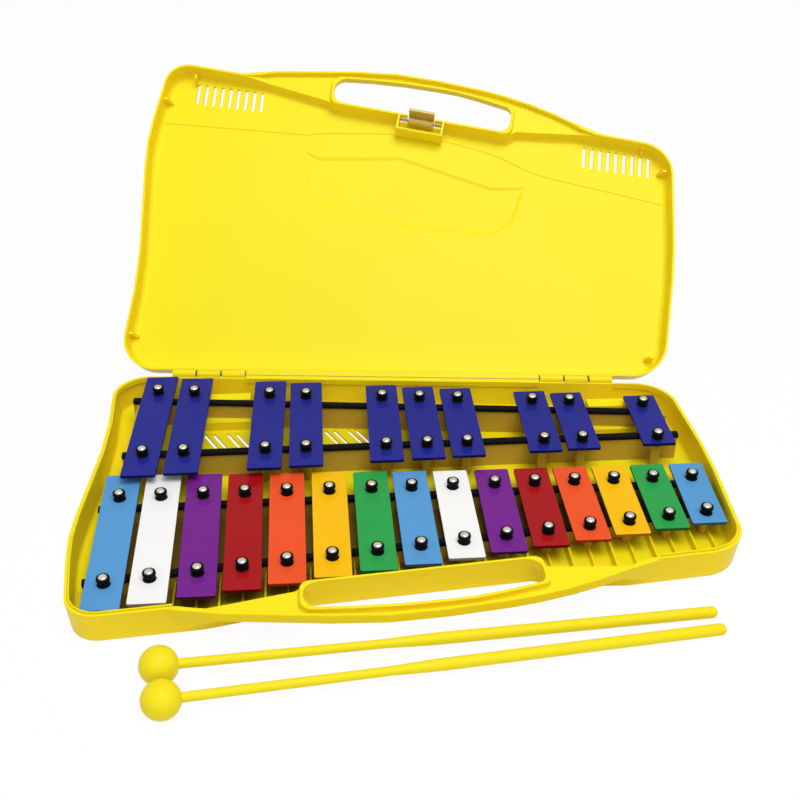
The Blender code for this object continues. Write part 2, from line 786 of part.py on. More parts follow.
def make_mallet(number, yellow):
    """A ball with a socket, and a stick whose tenon fits it."""
    radius = BALL_DIAMETER / 2
    ball_centre = Vector((*ball_spot(number), radius))
    way = Vector((*STICK_ENDS[number - 1], STICK_END_HEIGHT)) - ball_centre
    length = way.length - radius
    frame = Matrix.Translation(ball_centre) @ way.to_track_quat("Z", "X").to_matrix().to_4x4()
    profile = []
    for ring in range(1, 12):
        angle = math.pi * ring / 12
        profile.append((radius * math.sin(angle), -radius * math.cos(angle)))
    ball = lathe(f"mallet_{number}_head", profile, 20)
    neck = STICK_PROFILE[0][1]
    start = radius - SOCKET_DEPTH
    socket = lathe("socket", ((neck + GAP, start), (neck + GAP, 2 * radius)), STICK_SIDES)
    combine(ball, [socket], "DIFFERENCE")
    profile = [(neck, start + GAP)]
    for share, size in STICK_PROFILE:
        profile.append((size, radius + share * length))
    end_radius = STICK_PROFILE[-1][1]
    for degrees in (30, 60):
        angle = math.radians(degrees)
        z = radius + STICK_PROFILE[-1][0] * length + end_radius * math.sin(angle)
        profile.append((end_radius * math.cos(angle), z))
    stick = lathe(f"mallet_{number}_stick", profile, STICK_SIDES)
    for made in (ball, stick):
        finished(place(made, frame), yellow)


def main():
    for old in list(bpy.data.objects):
        bpy.data.objects.remove(old)
    yellow = material("yellow_plastic", YELLOW, 0.35)
    black = material("black_felt", (0.01, 0.01, 0.01), 0.9)
    steel = material("bright_steel", (0.7, 0.7, 0.7), 0.25, 1.0)
    amber = material("amber_plastic", (0.5, 0.35, 0.06), 0.2)
    blue = material("blue_paint", (0.028, 0.034, 0.25), 0.25)
    opened = bpy.data.objects.new("lid_hinge", None)
    bpy.context.scene.collection.objects.link(opened)
    hinge = hinge_frame()
    spot = Matrix.Translation(hinge.to_translation() * MM)
    opened.matrix_world = spot @ hinge.to_3x3().to_4x4() @ Matrix.Rotation(-LID_OPEN, 4, "X")
    make_tray(yellow)
    make_lid(yellow, opened)
    make_latch(amber, steel, opened)
    make_hinge_pins(steel)
    scale = sorted(NATURAL_STEPS + ACCIDENTAL_STEPS)
    for index, position in enumerate(scale):
        number = f"{index + 1:02d}"
        if position in NATURAL_STEPS:
            name, colour = NATURAL_COLOURS[NATURAL_STEPS.index(position) % len(NATURAL_COLOURS)]
            paint = material(f"{name}_paint", colour, 0.25)
            make_bar(f"bar_{number}_natural", NATURALS, NATURAL_STEPS, position, paint)
        else:
            make_bar(f"bar_{number}_accidental", ACCIDENTALS, ACCIDENTAL_STEPS, position, blue)
    for name, row, positions in (
        ("natural", NATURALS, NATURAL_STEPS),
        ("accidental", ACCIDENTALS, ACCIDENTAL_STEPS),
    ):
        for side in ("front", "rear"):
            make_strip(f"{name}_{side}_strip", row, side, positions, black)
    for number in (1, 2):
        make_mallet(number, yellow)


if __name__ == "__main__":
    main()
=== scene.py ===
"""Dresses a metallophone in its open carry case, with its two mallets, for a studio render.

The shapes are drawn in millimetres and become metres where a mesh is made. X runs along the row
of bars, Y to the rear, Z up. The lid is drawn shut and is then turned open about the hinge line.
"""

import math

import bmesh
import bpy
from bpy.props import FloatProperty, FloatVectorProperty, PointerProperty
from mathutils import Matrix, Vector


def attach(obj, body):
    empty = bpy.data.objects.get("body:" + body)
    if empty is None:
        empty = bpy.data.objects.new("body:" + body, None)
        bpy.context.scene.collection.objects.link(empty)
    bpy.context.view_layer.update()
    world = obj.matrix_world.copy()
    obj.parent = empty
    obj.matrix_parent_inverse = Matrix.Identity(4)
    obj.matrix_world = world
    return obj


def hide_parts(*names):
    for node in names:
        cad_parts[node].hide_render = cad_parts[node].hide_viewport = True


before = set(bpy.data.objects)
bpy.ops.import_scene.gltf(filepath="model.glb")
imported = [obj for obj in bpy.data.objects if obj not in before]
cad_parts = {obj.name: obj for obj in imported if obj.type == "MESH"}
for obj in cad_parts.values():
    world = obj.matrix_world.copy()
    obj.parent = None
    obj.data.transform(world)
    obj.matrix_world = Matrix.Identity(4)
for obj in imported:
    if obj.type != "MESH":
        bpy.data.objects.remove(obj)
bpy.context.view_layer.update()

bl_info = {
    "name": "Metallophone in a carry case",
    "version": (1, 0, 0),
    "blender": (4, 5, 0),
    "location": "3D View > Sidebar > Metallophone",
    "description": "Makes the finished pieces of a metallophone with a case and mallets",
    "category": "Object",
}

MM = 0.001
GAP = 0.3
CUT = 1.0
ARC_ANGLE = math.radians(6)

# Case halves
TRAY_HEIGHT = 24.0
LID_HEIGHT = 18.0
LID_SEAT = 0.3
WALL = 2.0
FLOOR = 2.0
DRAFT = math.tan(math.radians(4.8))
FOOT_RADIUS = 3.0
TRAY_FILLET = 2.5
LID_FILLET = 5.0
FILLET_STEPS = 6

# Corners of the case wall at its rim, seen from above: x, y and corner radius
FRONT_LEFT = (-224.9, -132.8, 21.0)
FRONT_BEND_LEFT = [(-141.0, -125.4, 30.0), (-83.5, -113.1, 6.0)]
SLOT_WALL = ((-76.0, -108.6, 6.0), (75.0, -93.9, 5.0))
FRONT_BEND_RIGHT = [(81.5, -99.6, 5.0), (137.0, -102.3, 30.0)]
FRONT_RIGHT = (219.6, -93.5, 30.0)
RIGHT_SIDE = [(225.3, 12.0, 320.0)]
REAR_RIGHT = (220.2, 31.0)
REAR_LEFT = (-229.0, 27.0)
LEFT_SIDE = [(-224.6, 62.0, 250.0), (-235.2, -55.0, 200.0)]

# Carrying handle
HANDLE_FRONT = [
    (-168.0, -126.0, 1.0),
    (-150.0, -128.6, 30.0),
    (-133.0, -132.6, 60.0),
    (-25.0, -142.6, 330.0),
    (62.0, -131.0, 160.0),
    (105.0, -120.2, 160.0),
    (157.0, -98.6, 20.0),
    (175.0, -97.2, 1.0),
]
HANDLE_BACK = [(170.0, -88.0, 1.0), (70.0, -86.0, 1.0), (-75.0, -100.0, 1.0), (-140.0, -112.0, 1.0)]
HANDLE_EDGE = (
    (0.9, 0.4),
    (0.35, 0.6),
    (0.08, 1.0),
    (0.0, 1.6),
    (0.0, 6.9),
    (0.15, 7.3),
    (0.5, 7.5),
)
CHANNEL = (
    (1.6, -1.0),
    (1.6, 0.4),
    (1.95, 0.6),
    (2.2, 1.0),
    (2.3, 1.6),
    (2.3, 4.6),
    (2.5, 5.2),
    (3.1, 5.5),
)
PLATE_DEPTH = 5.5
PLATE_ENDS = (-139.0, 137.0)
RAMP_TOPS = ((-159.0, -124.7), (158.0, -96.5))
RAMP_FEET = ((-139.0, -128.8), (137.0, -104.4))
RAMP_REAR = (-112.0, -90.0)
FLARE_TOPS = ((-163.0, -127.2), (157.6, -100.0))
FLARE_BASES = ((-163.0, -122.4), (157.6, -95.6))
FLARE_ENDS = ((-131.0, -132.4), (128.5, -110.2))
FLARE_REAR = (-118.0, -94.0)

# Hole for the fingers, with a ring round it
GRIP_FRONT = [
    (-78.6, -130.4, 11.0),
    (-32.0, -131.8, 300.0),
    (30.0, -127.6, 200.0),
    (77.6, -116.1, 7.5),
]
GRIP_REAR = ((76.4, 9.0), (-78.6, 9.5))
RING_SECTION = (
    (-1.5, 0.0),
    (-2.0, 0.12),
    (-2.3, 0.4),
    (-2.4, 0.9),
    (-2.4, 2.9),
    (-2.55, 3.9),
    (-3.0, 4.75),
    (-3.8, 5.35),
    (-4.8, 5.6),
    (-4.8, 7.3),
)
LID_RING_DROP = 0.2

# Tongue on the tray's rim that the lid closes over
TONGUE_SECTION = (
    (1.5, 4.0),
    (1.5, 0.8),
    (2.4, 0.8),
    (2.4, -0.8),
    (2.55, -1.0),
    (3.25, -1.0),
    (3.4, -0.8),
    (3.4, 3.4),
)
TONGUE_EASE = 1.05
TONGUE_GAP = ((-159.3, -150.0), (158.2, -85.0))
HINGE_ZONE = (61.0, 8.0)

# Hinge line at the rear
HINGE_Y = 134.9
HINGE_Z = TRAY_HEIGHT + LID_SEAT / 2
HINGE_SLANT = math.radians(-4.7)
HINGE_SETBACK = 3.5
LID_OPEN = math.radians(136.8)
HINGE_CENTRES = (-153.5, 147.5)
KNUCKLE_LENGTH = 19.6
KNUCKLE_RADIUS = 3.2
KNUCKLE_ARM = 8.0
KNUCKLE_EASE = 0.8
PIN_RADIUS = 1.3
LIP_THICKNESS = 2.2
LIP_GAP = 0.2

# Rows of bars: value at position 0 and change for each position along the row
PITCH = 29.5
MIDDLE_STEPS = 7
BAR_WIDTH = 25.0
BAR_THICKNESS = 2.5
BAR_CORNER = 1.5
HOLE_RADIUS = 4.3
NATURAL_STEPS = tuple(range(15))
ACCIDENTAL_STEPS = (0.5, 1.5, 3.5, 4.5, 6.5, 7.5, 8.5, 10.5, 11.5, 13.5)
NATURALS = {
    "top": 19.0,
    "steps": NATURAL_STEPS,
    "front_end": (-120.6, 4.35),
    "front_screw": (-96.6, 3.45),
    "rear_screw": (-8.0, 0.0),
    "rear_end": (13.2, -0.22),
    "rear_bend": (8, 0.85),
    "front_strip": (-88.6, 3.28),
    "rear_strip": (-13.9, 0.36),
    "reach": (-221.0, 217.0),
    "leans": (
        (1.2, -0.2),
        (0.2, -0.7),
        (1.3, -1.0),
        (0.3, -1.0),
        (-0.3, -0.7),
        (0.0, 0.0),
        (0.6, 0.7),
        (0.7, -0.3),
        (0.7, 0.0),
        (0.3, 1.2),
        (0.2, 0.9),
        (0.5, 0.3),
        (-0.5, 0.0),
        (-1.2, -0.5),
        (-3.0, -0.4),
    ),
}
ACCIDENTALS = {
    "top": 27.5,
    "steps": ACCIDENTAL_STEPS,
    "front_end": (6.5, 1.33),
    "front_screw": (32.3, 0.0),
    "rear_screw": (116.9, -2.92),
    "rear_end": (142.2, -3.78),
    "rear_bend": (0, 0.0),
    "front_strip": (38.2, 0.25),
    "rear_strip": (111.8, -2.83),
    "reach": (-210.0, 209.0),
    "leans": (
        (-3.3, 2.5),
        (-2.7, 1.1),
        (-2.2, 1.2),
        (-1.4, 0.0),
        (-1.2, 0.9),
        (0.2, 0.4),
        (0.7, 0.7),
        (-0.3, 0.5),
        (-0.6, 0.0),
        (-1.8, -1.2),
    ),
}
NATURAL_COLOURS = ("sky", "white", "purple", "red", "orange", "amber", "green")

# Felt, rubber and steel of the supports
STRIP_WIDTH = 5.4
STRIP_THICKNESS = 3.2
STRIP_SHORT = 6.5
SLEEVE_RADIUS = 3.6
SLEEVE_HEIGHT = 5.2
COLLAR_RADIUS = 4.4
COLLAR_RISE = 0.7
HEAD_SEAT = 3.05
HEAD_RISE = 1.5
RAIL_WIDTH = 3.0
POST_RADIUS = 3.5
END_WALLS = (-206.0, 203.6)
RIB_STEPS = range(2, 15)
PADS = (((-162.0, 113.0), (-118.0, 123.0)), ((150.0, 87.0), (190.0, 98.6)))
PAD_TOP = 21.0
LEDGES = (((-162.0, 97.6), (-118.0, 113.5)), ((150.0, 70.5), (190.0, 87.5)))
LEDGE_TOP = 10.0
# Lines that bound the painted shade on the tray's floor below and in front of the front row of bars
PAINTED_SHADE_FRONT = ((-206.0, -118.0), (206.0, -40.0))
PAINTED_SHADE_REAR = ((-206.0, -4.0), (206.0, 0.0))
FLOOR_SLOTS = (-149.4, -142.4, -131.5, -124.4, -54.6, -47.5, -36.3, -30.1)
FLOOR_SLOT_Y = 83.0
FLOOR_SLOT_SIZE = (2.8, 23.0)
FLOOR_SLOT_ANGLE = math.radians(29)

# Latch
HOUSING = (41.0, 15.4)
HOUSING_WALL = 1.8
HOUSING_LEAN = 1.7
HOUSING_WELL = 13.5
TONGUE = (-11.5, 11.0)
TONGUE_THICKNESS = 2.4
TONGUE_REACH = (-6.0, 12.0)
LATCH_PIN = (2.2, 8.0)
LATCH_PIN_RADIUS = 1.2
LATCH_ROLL = 4.3
LATCH_BRIDGE = 5.5
LATCH_WEB = 1.5
CATCH = (8.0, 1.0, 2.4)
CATCH_DROP = 4.4

# Vent slots and the bare plaque of the lid
VENTS = ((-199.7, -111.0, 0.039), (145.0, -84.0, 0.080))
VENT_COUNT = 9
VENT_PITCH = 7.1
VENT_WIDTH = 2.7
VENT_LENGTH = 19.4
PLAQUE = [
    (-96.3, -62.0, 3.0),
    (-85.3, -58.3, 3.0),
    (-15.6, -65.3, 3.0),
    (65.0, -44.8, 3.0),
    (91.2, -47.3, 3.0),
    (84.5, -18.5, 3.0),
    (68.0, -5.8, 3.0),
    (-10.0, -7.3, 3.0),
    (-89.5, -24.8, 3.0),
]
PLAQUE_DEPTH = 1.2
PLAQUE_SLOPE = 3.6
STEP_LEFT = [
    (-220.5, -126.9, 15.4),
    (-141.0, -119.8, 10.0),
    (-83.5, -107.3, 3.0),
    (-76.0, -103.0, 3.0),
    (-18.0, -97.4, 1.0),
    (-18.0, -89.2, 1.0),
    (-35.9, -88.5, 6.0),
    (-83.7, -84.2, 6.0),
    (-99.5, -80.9, 10.0),
    (-148.1, -80.7, 20.0),
    (-226.0, -79.9, 1.0),
]
STEP_RIGHT = [
    (18.0, -93.9, 1.0),
    (73.5, -88.4, 3.0),
    (83.0, -94.1, 3.0),
    (137.2, -96.7, 10.0),
    (213.6, -88.5, 24.4),
    (216.6, -45.0, 1.0),
    (155.1, -54.8, 20.0),
    (115.8, -60.6, 12.0),
    (96.1, -65.7, 10.0),
    (72.6, -75.8, 10.0),
    (47.6, -82.2, 10.0),
    (18.0, -87.8, 1.0),
]
STEP_RISE = 0.6
STEP_SLOPE = 0.7
GUSSETS = (
    (-224.0, -99.0, 0),
    (-202.0, -121.5, 90),
    (-222.6, 117.0, 0),
    (208.9, 96.0, 180),
    (194.0, -93.0, 90),
    (213.0, -73.0, 180),
)
GUSSET_WIDTH = 2.0

# Mallets
BALL_DIAMETER = 24.5
BALL_GAP = 2.88
FIRST_BALL = (-165.1, -162.9)
BALL_TURN = math.radians(-81.8)
STICK_ENDS = ((188.9, -131.1), (189.7, -146.6))
STICK_END_HEIGHT = 4.1
SOCKET_DEPTH = 10.0
STICK_PROFILE = ((0.0, 3.1), (0.36, 2.9), (0.41, 3.5), (0.46, 3.9), (0.985, 3.9))

# Camera
EYE = Vector((-68.46, -651.82, 514.21))
CAMERA_TURN = (-5.22, 57.02, 1.076)


def size(name, metres, text):
    return FloatProperty(name=name, description=text, default=metres, min=0.0, unit="LENGTH")


def share(name, value, text):
    return FloatProperty(name=name, description=text, default=value, min=0.0, max=1.0, subtype="FACTOR")


def colour(name, value, text):
    return FloatVectorProperty(
        name=name, description=text, default=value, size=3, min=0.0, max=1.0, subtype="COLOR"
    )


class CaseSettings(bpy.types.PropertyGroup):
    yellow: colour("Plastic", (0.94, 0.815, 0.009), "Colour of the moulded case")
    # Painted shade: a darker, more orange tone that the case plastic takes on its upright and downward-facing
    # sides
    painted_side_shade: colour("Plastic shade", (0.94, 0.72, 0.014), "Tone of the plastic on its upright sides")
    # Painted shade: the rails, posts and end walls below the bars take this dark brown in place of the case's
    # yellow, as they stand in shade
    rails: colour("Rails", (0.58, 0.38, 0.045), "Colour of the rails, posts and ribs below the bars")
    # Painted shade: the dark brown put on the tray's floor below and in front of the front bars
    below: colour("Below the bars", (0.22, 0.13, 0.014), "Tone of the tray's floor below the front bars")
    roughness: share("Roughness", 0.34, "How matt the moulded plastic is")
    grain: size("Grain", 0.0006, "Width of the grain moulded into the plastic")
    rib_width: size("Rib width", 0.0016, "Thickness of the ribs in front of the bars")
    rib_height: size("Rib height", 0.008, "Height of the ribs in front of the bars")
    rounding: size("Edge rounding", 0.0005, "Rounding of the rails and ribs")


class BarSettings(bpy.types.PropertyGroup):
    sky: colour("Sky blue", (0.098, 0.33, 0.66), "Enamel of the first bar of each scale")
    white: colour("White", (0.93, 0.93, 0.93), "Enamel of the white bars")
    purple: colour("Purple", (0.18, 0.016, 0.27), "Enamel of the purple bars")
    red: colour("Red", (0.39, 0.007, 0.009), "Enamel of the red bars")
    orange: colour("Orange", (0.86, 0.092, 0.02), "Enamel of the orange bars")
    amber: colour("Amber", (0.96, 0.52, 0.003), "Enamel of the amber bars")
    green: colour("Green", (0.025, 0.36, 0.075), "Enamel of the green bars")
    blue: colour("Dark blue", (0.016, 0.021, 0.26), "Enamel of the raised bars")
    bevel: size("Edge bevel", 0.00045, "Width of the rounded edge of each bar")
    roughness: share("Roughness", 0.2, "How matt the enamel is")


class SupportSettings(bpy.types.PropertyGroup):
    felt: colour("Felt", (0.005, 0.005, 0.0055), "Colour of the felt strips")
    rubber: colour("Rubber", (0.004, 0.004, 0.0045), "Colour of the screw sleeves")
    steel: colour("Steel", (0.62, 0.59, 0.56), "Colour of the screws")
    pins: colour("Pins", (0.12, 0.09, 0.06), "Colour of the hinge pins")
    dome: size("Dome radius", 0.0030, "Radius of the screw heads")


class LatchSettings(bpy.types.PropertyGroup):
    amber: colour("Amber plastic", (0.70, 0.50, 0.06), "Colour of the latch tongue")
    bevel: size("Edge bevel", 0.0005, "Rounding of the tongue's edges")


class MalletSettings(bpy.types.PropertyGroup):
    yellow: colour("Plastic", (0.92, 0.76, 0.012), "Colour of the mallets")
    seam: size("Seam", 0.00012, "Height of the mould seam round each ball")


class StageSettings(bpy.types.PropertyGroup):
    lamp_power: FloatProperty(
        name="Lamp power", description="Power of the soft lamp above", default=28.0, unit="POWER"
    )
    fill_power: FloatProperty(
        name="Fill power", description="Power of the soft lamp in front", default=2.5, unit="POWER"
    )
    ambient: share("Surround", 0.44, "Strength of the white surround")
    floor: colour("Floor", (0.9, 0.9, 0.9), "Colour of the floor")
    glow: share("Floor glow", 0.94, "Share of the floor that is plain white to the camera")


def rounded(corners):
    """The outline through these corners, each (x, y, radius), with its arcs as short runs."""
    points = []
    count = len(corners)
    for index, (x, y, radius) in enumerate(corners):
        here = Vector((x, y))
        to_last = (Vector(corners[index - 1][:2]) - here).normalized()
        to_next = (Vector(corners[(index + 1) % count][:2]) - here).normalized()
        turn = math.pi - to_last.angle(to_next)
        if radius <= 0 or turn < 1e-4:
            points.append(here)
            continue
        centre = here + (to_last + to_next).normalized() * radius / math.cos(turn / 2)
        start = here + to_last * radius * math.tan(turn / 2) - centre
        way = math.copysign(1, -to_last.cross(to_next))
        steps = max(1, round(turn / ARC_ANGLE))
        for step in range(steps + 1):
            angle = way * turn * step / steps
            points.append(centre + Matrix.Rotation(angle, 2) @ start)
    return points


def inset(points, distance):
    """The outline moved inwards by this distance."""
    moved = []
    count = len(points)
    for index, point in enumerate(points):
        before = (point - points[index - 1]).normalized()
        after = (points[(index + 1) % count] - point).normalized()
        normal = Vector((-before.y - after.y, before.x + after.x)).normalized()
        part = max(0.3, normal.dot(Vector((-before.y, before.x))))
        moved.append(point + normal * distance / part)
    return moved


def drawn_in(corners, distance):
    """The corners moved inwards by this distance, each with its arc about the same centre."""
    moved = inset([Vector(corner[:2]) for corner in corners], distance)
    made = []
    for index, point in enumerate(moved):
        before = point - moved[index - 1]
        after = moved[(index + 1) % len(moved)] - point
        radius = corners[index][2] - math.copysign(distance, before.cross(after))
        made.append((point.x, point.y, max(radius, GAP)))
    return made


def new_object(name, shape):
    """An object from a bmesh in millimetres, with its faces pointing out."""
    bmesh.ops.recalc_face_normals(shape, faces=shape.faces)
    bmesh.ops.scale(shape, vec=(MM, MM, MM), verts=shape.verts)
    mesh = bpy.data.meshes.new(name)
    shape.to_mesh(mesh)
    shape.free()
    made = bpy.data.objects.new(name, mesh)
    bpy.context.scene.collection.objects.link(made)
    return made


def stacked(name, rings, closed=False):
    """A body whose rings of points follow each other, capped at both ends or closed on itself."""
    shape = bmesh.new()
    rows = [[shape.verts.new(point) for point in ring] for ring in rings]
    pairs = list(zip(rows, rows[1:]))
    if closed:
        pairs.append((rows[-1], rows[0]))
    else:
        shape.faces.new(rows[0])
        shape.faces.new(rows[-1])
    for low, high in pairs:
        for index in range(len(low)):
            after = (index + 1) % len(low)
            shape.faces.new((low[index], low[after], high[after], high[index]))
    return new_object(name, shape)


def sweep(name, corners, rim, away, profile, closed=False):
    """A block from outlines drawn in by the profile's (inset, depth below the rim) pairs."""
    rings = []
    for distance, depth in profile:
        outline = rounded(drawn_in(corners, distance))
        rings.append([(p.x, p.y, rim + away * depth) for p in outline])
    return stacked(name, rings, closed)


def slab(name, points, low, high):
    """An upright block on an outline."""
    return stacked(name, [[(p.x, p.y, z) for p in points] for z in (low, high)])


def lathe(name, profile, sides):
    """A body turned about its own Z from (radius, z) pairs, closed at both ends."""
    rings = []
    for radius, z in profile:
        angles = (2 * math.pi * side / sides for side in range(sides))
        rings.append([(radius * math.cos(a), radius * math.sin(a), z) for a in angles])
    return stacked(name, rings)


def rod(name, radius, start, end, sides, edge=0.0):
    """A round bar along X, with this much rounding at its ends."""
    profile = [(radius, start), (radius, end)]
    if edge:
        profile = [(radius - edge, start), (radius, start + edge), (radius, end - edge), (radius - edge, end)]
    return place(lathe(name, profile, sides), Matrix.Rotation(math.pi / 2, 4, "Y"))


def hull(name, points):
    """The smallest block that holds these points."""
    shape = bmesh.new()
    for point in points:
        shape.verts.new(point)
    made = bmesh.ops.convex_hull(shape, input=shape.verts)
    inside = [item for item in made["geom_interior"] if isinstance(item, bmesh.types.BMVert)]
    bmesh.ops.delete(shape, geom=inside, context="VERTS")
    return new_object(name, shape)


def box(name, low, high):
    corners = [Vector((low[0], low[1])), Vector((high[0], low[1]))]
    corners += [Vector((high[0], high[1])), Vector((low[0], high[1]))]
    return slab(name, corners, low[2], high[2])


def beam(name, ends, width, low, high):
    """An upright wall of this width between two points."""
    start, end = ends
    side = Vector((start.y - end.y, end.x - start.x)).normalized() * width / 2
    return slab(name, [start - side, end - side, end + side, start + side], low, high)


def eased(made, width, segments=2):
    """Rounds every edge of a simple block."""
    shape = bmesh.new()
    shape.from_mesh(made.data)
    edges = [edge for edge in shape.edges if edge.calc_face_angle(0.0) > 0.5]
    bmesh.ops.bevel(shape, geom=edges, offset=width * MM, segments=segments, affect="EDGES", profile=0.5)
    shape.to_mesh(made.data)
    shape.free()
    return made


def combine(target, tools, operation):
    """The target joined with or cut by each tool in turn. The tools are used up."""
    for tool in tools:
        step = target.modifiers.new("step", "BOOLEAN")
        step.operation = operation
        step.solver = "EXACT"
        step.object = tool
        bpy.context.view_layer.update()
        graph = bpy.context.evaluated_depsgraph_get()
        made = bpy.data.meshes.new_from_object(target.evaluated_get(graph))
        target.modifiers.remove(step)
        old = target.data
        target.data = made
        bpy.data.meshes.remove(old)
        made.name = target.name
        bpy.data.objects.remove(tool)
    return target


def gathered(name, parts):
    """One object that holds the meshes of all these parts."""
    shape = bmesh.new()
    for part in parts:
        shape.from_mesh(part.data)
        bpy.data.objects.remove(part)
    mesh = bpy.data.meshes.new(name)
    shape.to_mesh(mesh)
    shape.free()
    made = bpy.data.objects.new(name, mesh)
    bpy.context.scene.collection.objects.link(made)
    return made


def place(made, matrix):
    """Moves the mesh itself, with the shift given in millimetres."""
    made.data.transform(Matrix.Translation(matrix.to_translation() * MM) @ matrix.to_3x3().to_4x4())
    return made


def dressed(made, finish, body, nodes=(), degrees=32):
    """Gives a piece its finish and smooth shading, and hangs it on its body."""
    made.data.materials.clear()
    made.data.materials.append(finish)
    made.data.shade_smooth()
    made.data.set_sharp_from_angle(angle=math.radians(degrees))
    normals = made.modifiers.new("weighted_normals", "WEIGHTED_NORMAL")
    normals.keep_sharp = True
    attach(made, body)
    if nodes:
        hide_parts(*nodes)
    return made


def rear_y(x):
    """The outer face of the rear wall, which runs beside the hinge line."""
    return HINGE_Y - HINGE_SETBACK / math.cos(HINGE_SLANT) + math.tan(HINGE_SLANT) * x


def hinge_frame(along=0.0):
    """A frame on the hinge line: X along it, Y to the rear, Z up."""
    turn = Matrix.Rotation(HINGE_SLANT, 4, "Z")
    return Matrix.Translation((0, HINGE_Y, HINGE_Z)) @ turn @ Matrix.Translation((along, 0, 0))


def opened(made):
    """Turns a piece that was drawn with the lid shut to where it is with the lid open."""
    hinge = hinge_frame()
    return place(made, hinge @ Matrix.Rotation(-LID_OPEN, 4, "X") @ hinge.inverted())


def slot_slope():
    (x0, y0, _), (x1, y1, _) = SLOT_WALL
    return (y1 - y0) / (x1 - x0)


def slot_wall_y(x):
    """The outer face of the wall behind the grip hole."""
    return SLOT_WALL[0][1] + slot_slope() * (x - SLOT_WALL[0][0])


def slot_frame(height):
    """A frame on the outer face of the slot wall: X along it, Y into the case, Z up."""
    turn = Matrix.Rotation(math.atan(slot_slope()), 4, "Z")
    return Matrix.Translation((0, slot_wall_y(0), height)) @ turn


def wall_corners():
    corners = [FRONT_LEFT, *FRONT_BEND_LEFT, *SLOT_WALL, *FRONT_BEND_RIGHT, FRONT_RIGHT, *RIGHT_SIDE]
    for x, radius in (REAR_RIGHT, REAR_LEFT):
        corners.append((x, rear_y(x), radius))
    return corners + LEFT_SIDE


def grip_corners():
    rear = [(x, slot_wall_y(x) + 0.03, radius) for x, radius in GRIP_REAR]
    return GRIP_FRONT + rear


def drafted(depth, fillet, rows):
    """A wall's (inset, depth) pairs from its rim to its rounded foot, after these first rows."""
    thickness = rows[-1][0] - DRAFT * rows[-1][1]
    foot = depth - fillet
    rows = list(rows)
    for step in range(FILLET_STEPS + 1):
        angle = math.pi / 2 * step / FILLET_STEPS
        across = fillet * (1 - math.cos(angle))
        rows.append((thickness + DRAFT * foot + across, foot + fillet * math.sin(angle)))
    return rows


def ramp(side, rim, away):
    """What is cut off the wall's rim where it falls to the level of the handle's plate."""
    top, foot, rear = RAMP_TOPS[side], RAMP_FEET[side], RAMP_REAR[side]
    past = foot[0] + math.copysign(2, foot[0] - top[0])
    points = []
    for x, y, depth in (
        (*top, 0.0),
        (*top, -CUT),
        (*foot, PLATE_DEPTH),
        (past, foot[1], PLATE_DEPTH - 0.1),
        (past, foot[1], -CUT),
    ):
        points.append((x, y, rim + away * depth))
        points.append((x, rear, rim + away * depth))
    return hull("ramp", points)


def flare(side, rim, away, height):
    """The face that leads from the case wall out to the end of the handle's lip."""
    foot, edge = FLARE_ENDS[side], HANDLE_EDGE[-1][1]
    rear = FLARE_REAR[side]
    points = []
    for (x, y), depth in (
        (FLARE_TOPS[side], 0.6),
        (FLARE_BASES[side], height - 0.2),
        (foot, 0.8),
        (foot, edge - 0.1),
    ):
        points.append((x, y, rim + away * depth))
        points.append((x, rear, rim + away * depth))
    return hull("flare", points)


def shell(name, rim, away, height, fillet, ring_drop):
    """Half of the case: walls, floor and handle. away is -1 for the tray and 1 for the lid."""
    wall = wall_corners()
    handle = HANDLE_FRONT + HANDLE_BACK
    grip = grip_corners()
    edge = ((0.45, 0.0), (0.12, 0.12), (0.04, 0.45))
    half = sweep(name, wall, rim, away, drafted(height, FOOT_RADIUS, edge))
    parts = [sweep("handle", handle, rim, away, HANDLE_EDGE)]
    parts += [flare(side, rim, away, height) for side in (0, 1)]
    combine(half, parts, "UNION")
    recess = sweep("recess", handle, rim, away, CHANNEL)
    low, high = sorted((rim - away * 2 * CUT, rim + away * height))
    ends = box("ends", (PLATE_ENDS[0], -200, low), (PLATE_ENDS[1], 0, high))
    combine(recess, [ends], "INTERSECT")
    combine(half, [recess, *(ramp(side, rim, away) for side in (0, 1))], "DIFFERENCE")
    section = [(distance, depth + ring_drop * (depth < 1)) for distance, depth in RING_SECTION]
    combine(half, [sweep("ring", grip, rim, away, section)], "UNION")
    deep = height + CUT
    mouth = ((-0.65, -CUT), (-0.65, ring_drop), (-0.2, ring_drop + 0.2), (0.0, ring_drop + 0.65))
    hole = sweep("hole", grip, rim, away, (*mouth, (-DRAFT * deep, deep)))
    inner = ((WALL - 0.25, -CUT), (WALL - 0.25, 0.0), (WALL + 0.02, 0.27))
    hollow = sweep("hollow", wall, rim, away, drafted(height - FLOOR, fillet, inner))
    return combine(half, [hole, hollow], "DIFFERENCE")


def knuckle(name, up, length):
    """A hinge barrel with its arm to the wall, above (up 1) or below (up -1) the hinge line."""
    length -= KNUCKLE_EASE
    barrel = rod(name, KNUCKLE_RADIUS, -length / 2, length / 2, 28, 0.3)
    low, high = sorted((up * KNUCKLE_ARM, up * LID_SEAT / 2))
    half = length / 2 - 0.35
    arm = box("arm", (-half, -HINGE_SETBACK - WALL / 2, low), (half, 0.13, high))
    combine(barrel, [arm], "UNION")
    return combine(barrel, [rod("drill", PIN_RADIUS + GAP, -length, length, 20)], "DIFFERENCE")


def hinge_lip(up):
    """A lip from the rear wall to the hinge line, between the two hinges."""
    left, right = HINGE_CENTRES
    clear = 1.5 * KNUCKLE_LENGTH + 3 * GAP
    near = LID_SEAT / 2 + LIP_GAP / 4
    low, high = sorted((up * near, up * (near + LIP_THICKNESS)))
    start = (left + clear, -HINGE_SETBACK - WALL / 2, low)
    return place(eased(box("lip", start, (right - clear, -LIP_GAP, high)), 0.3), hinge_frame())


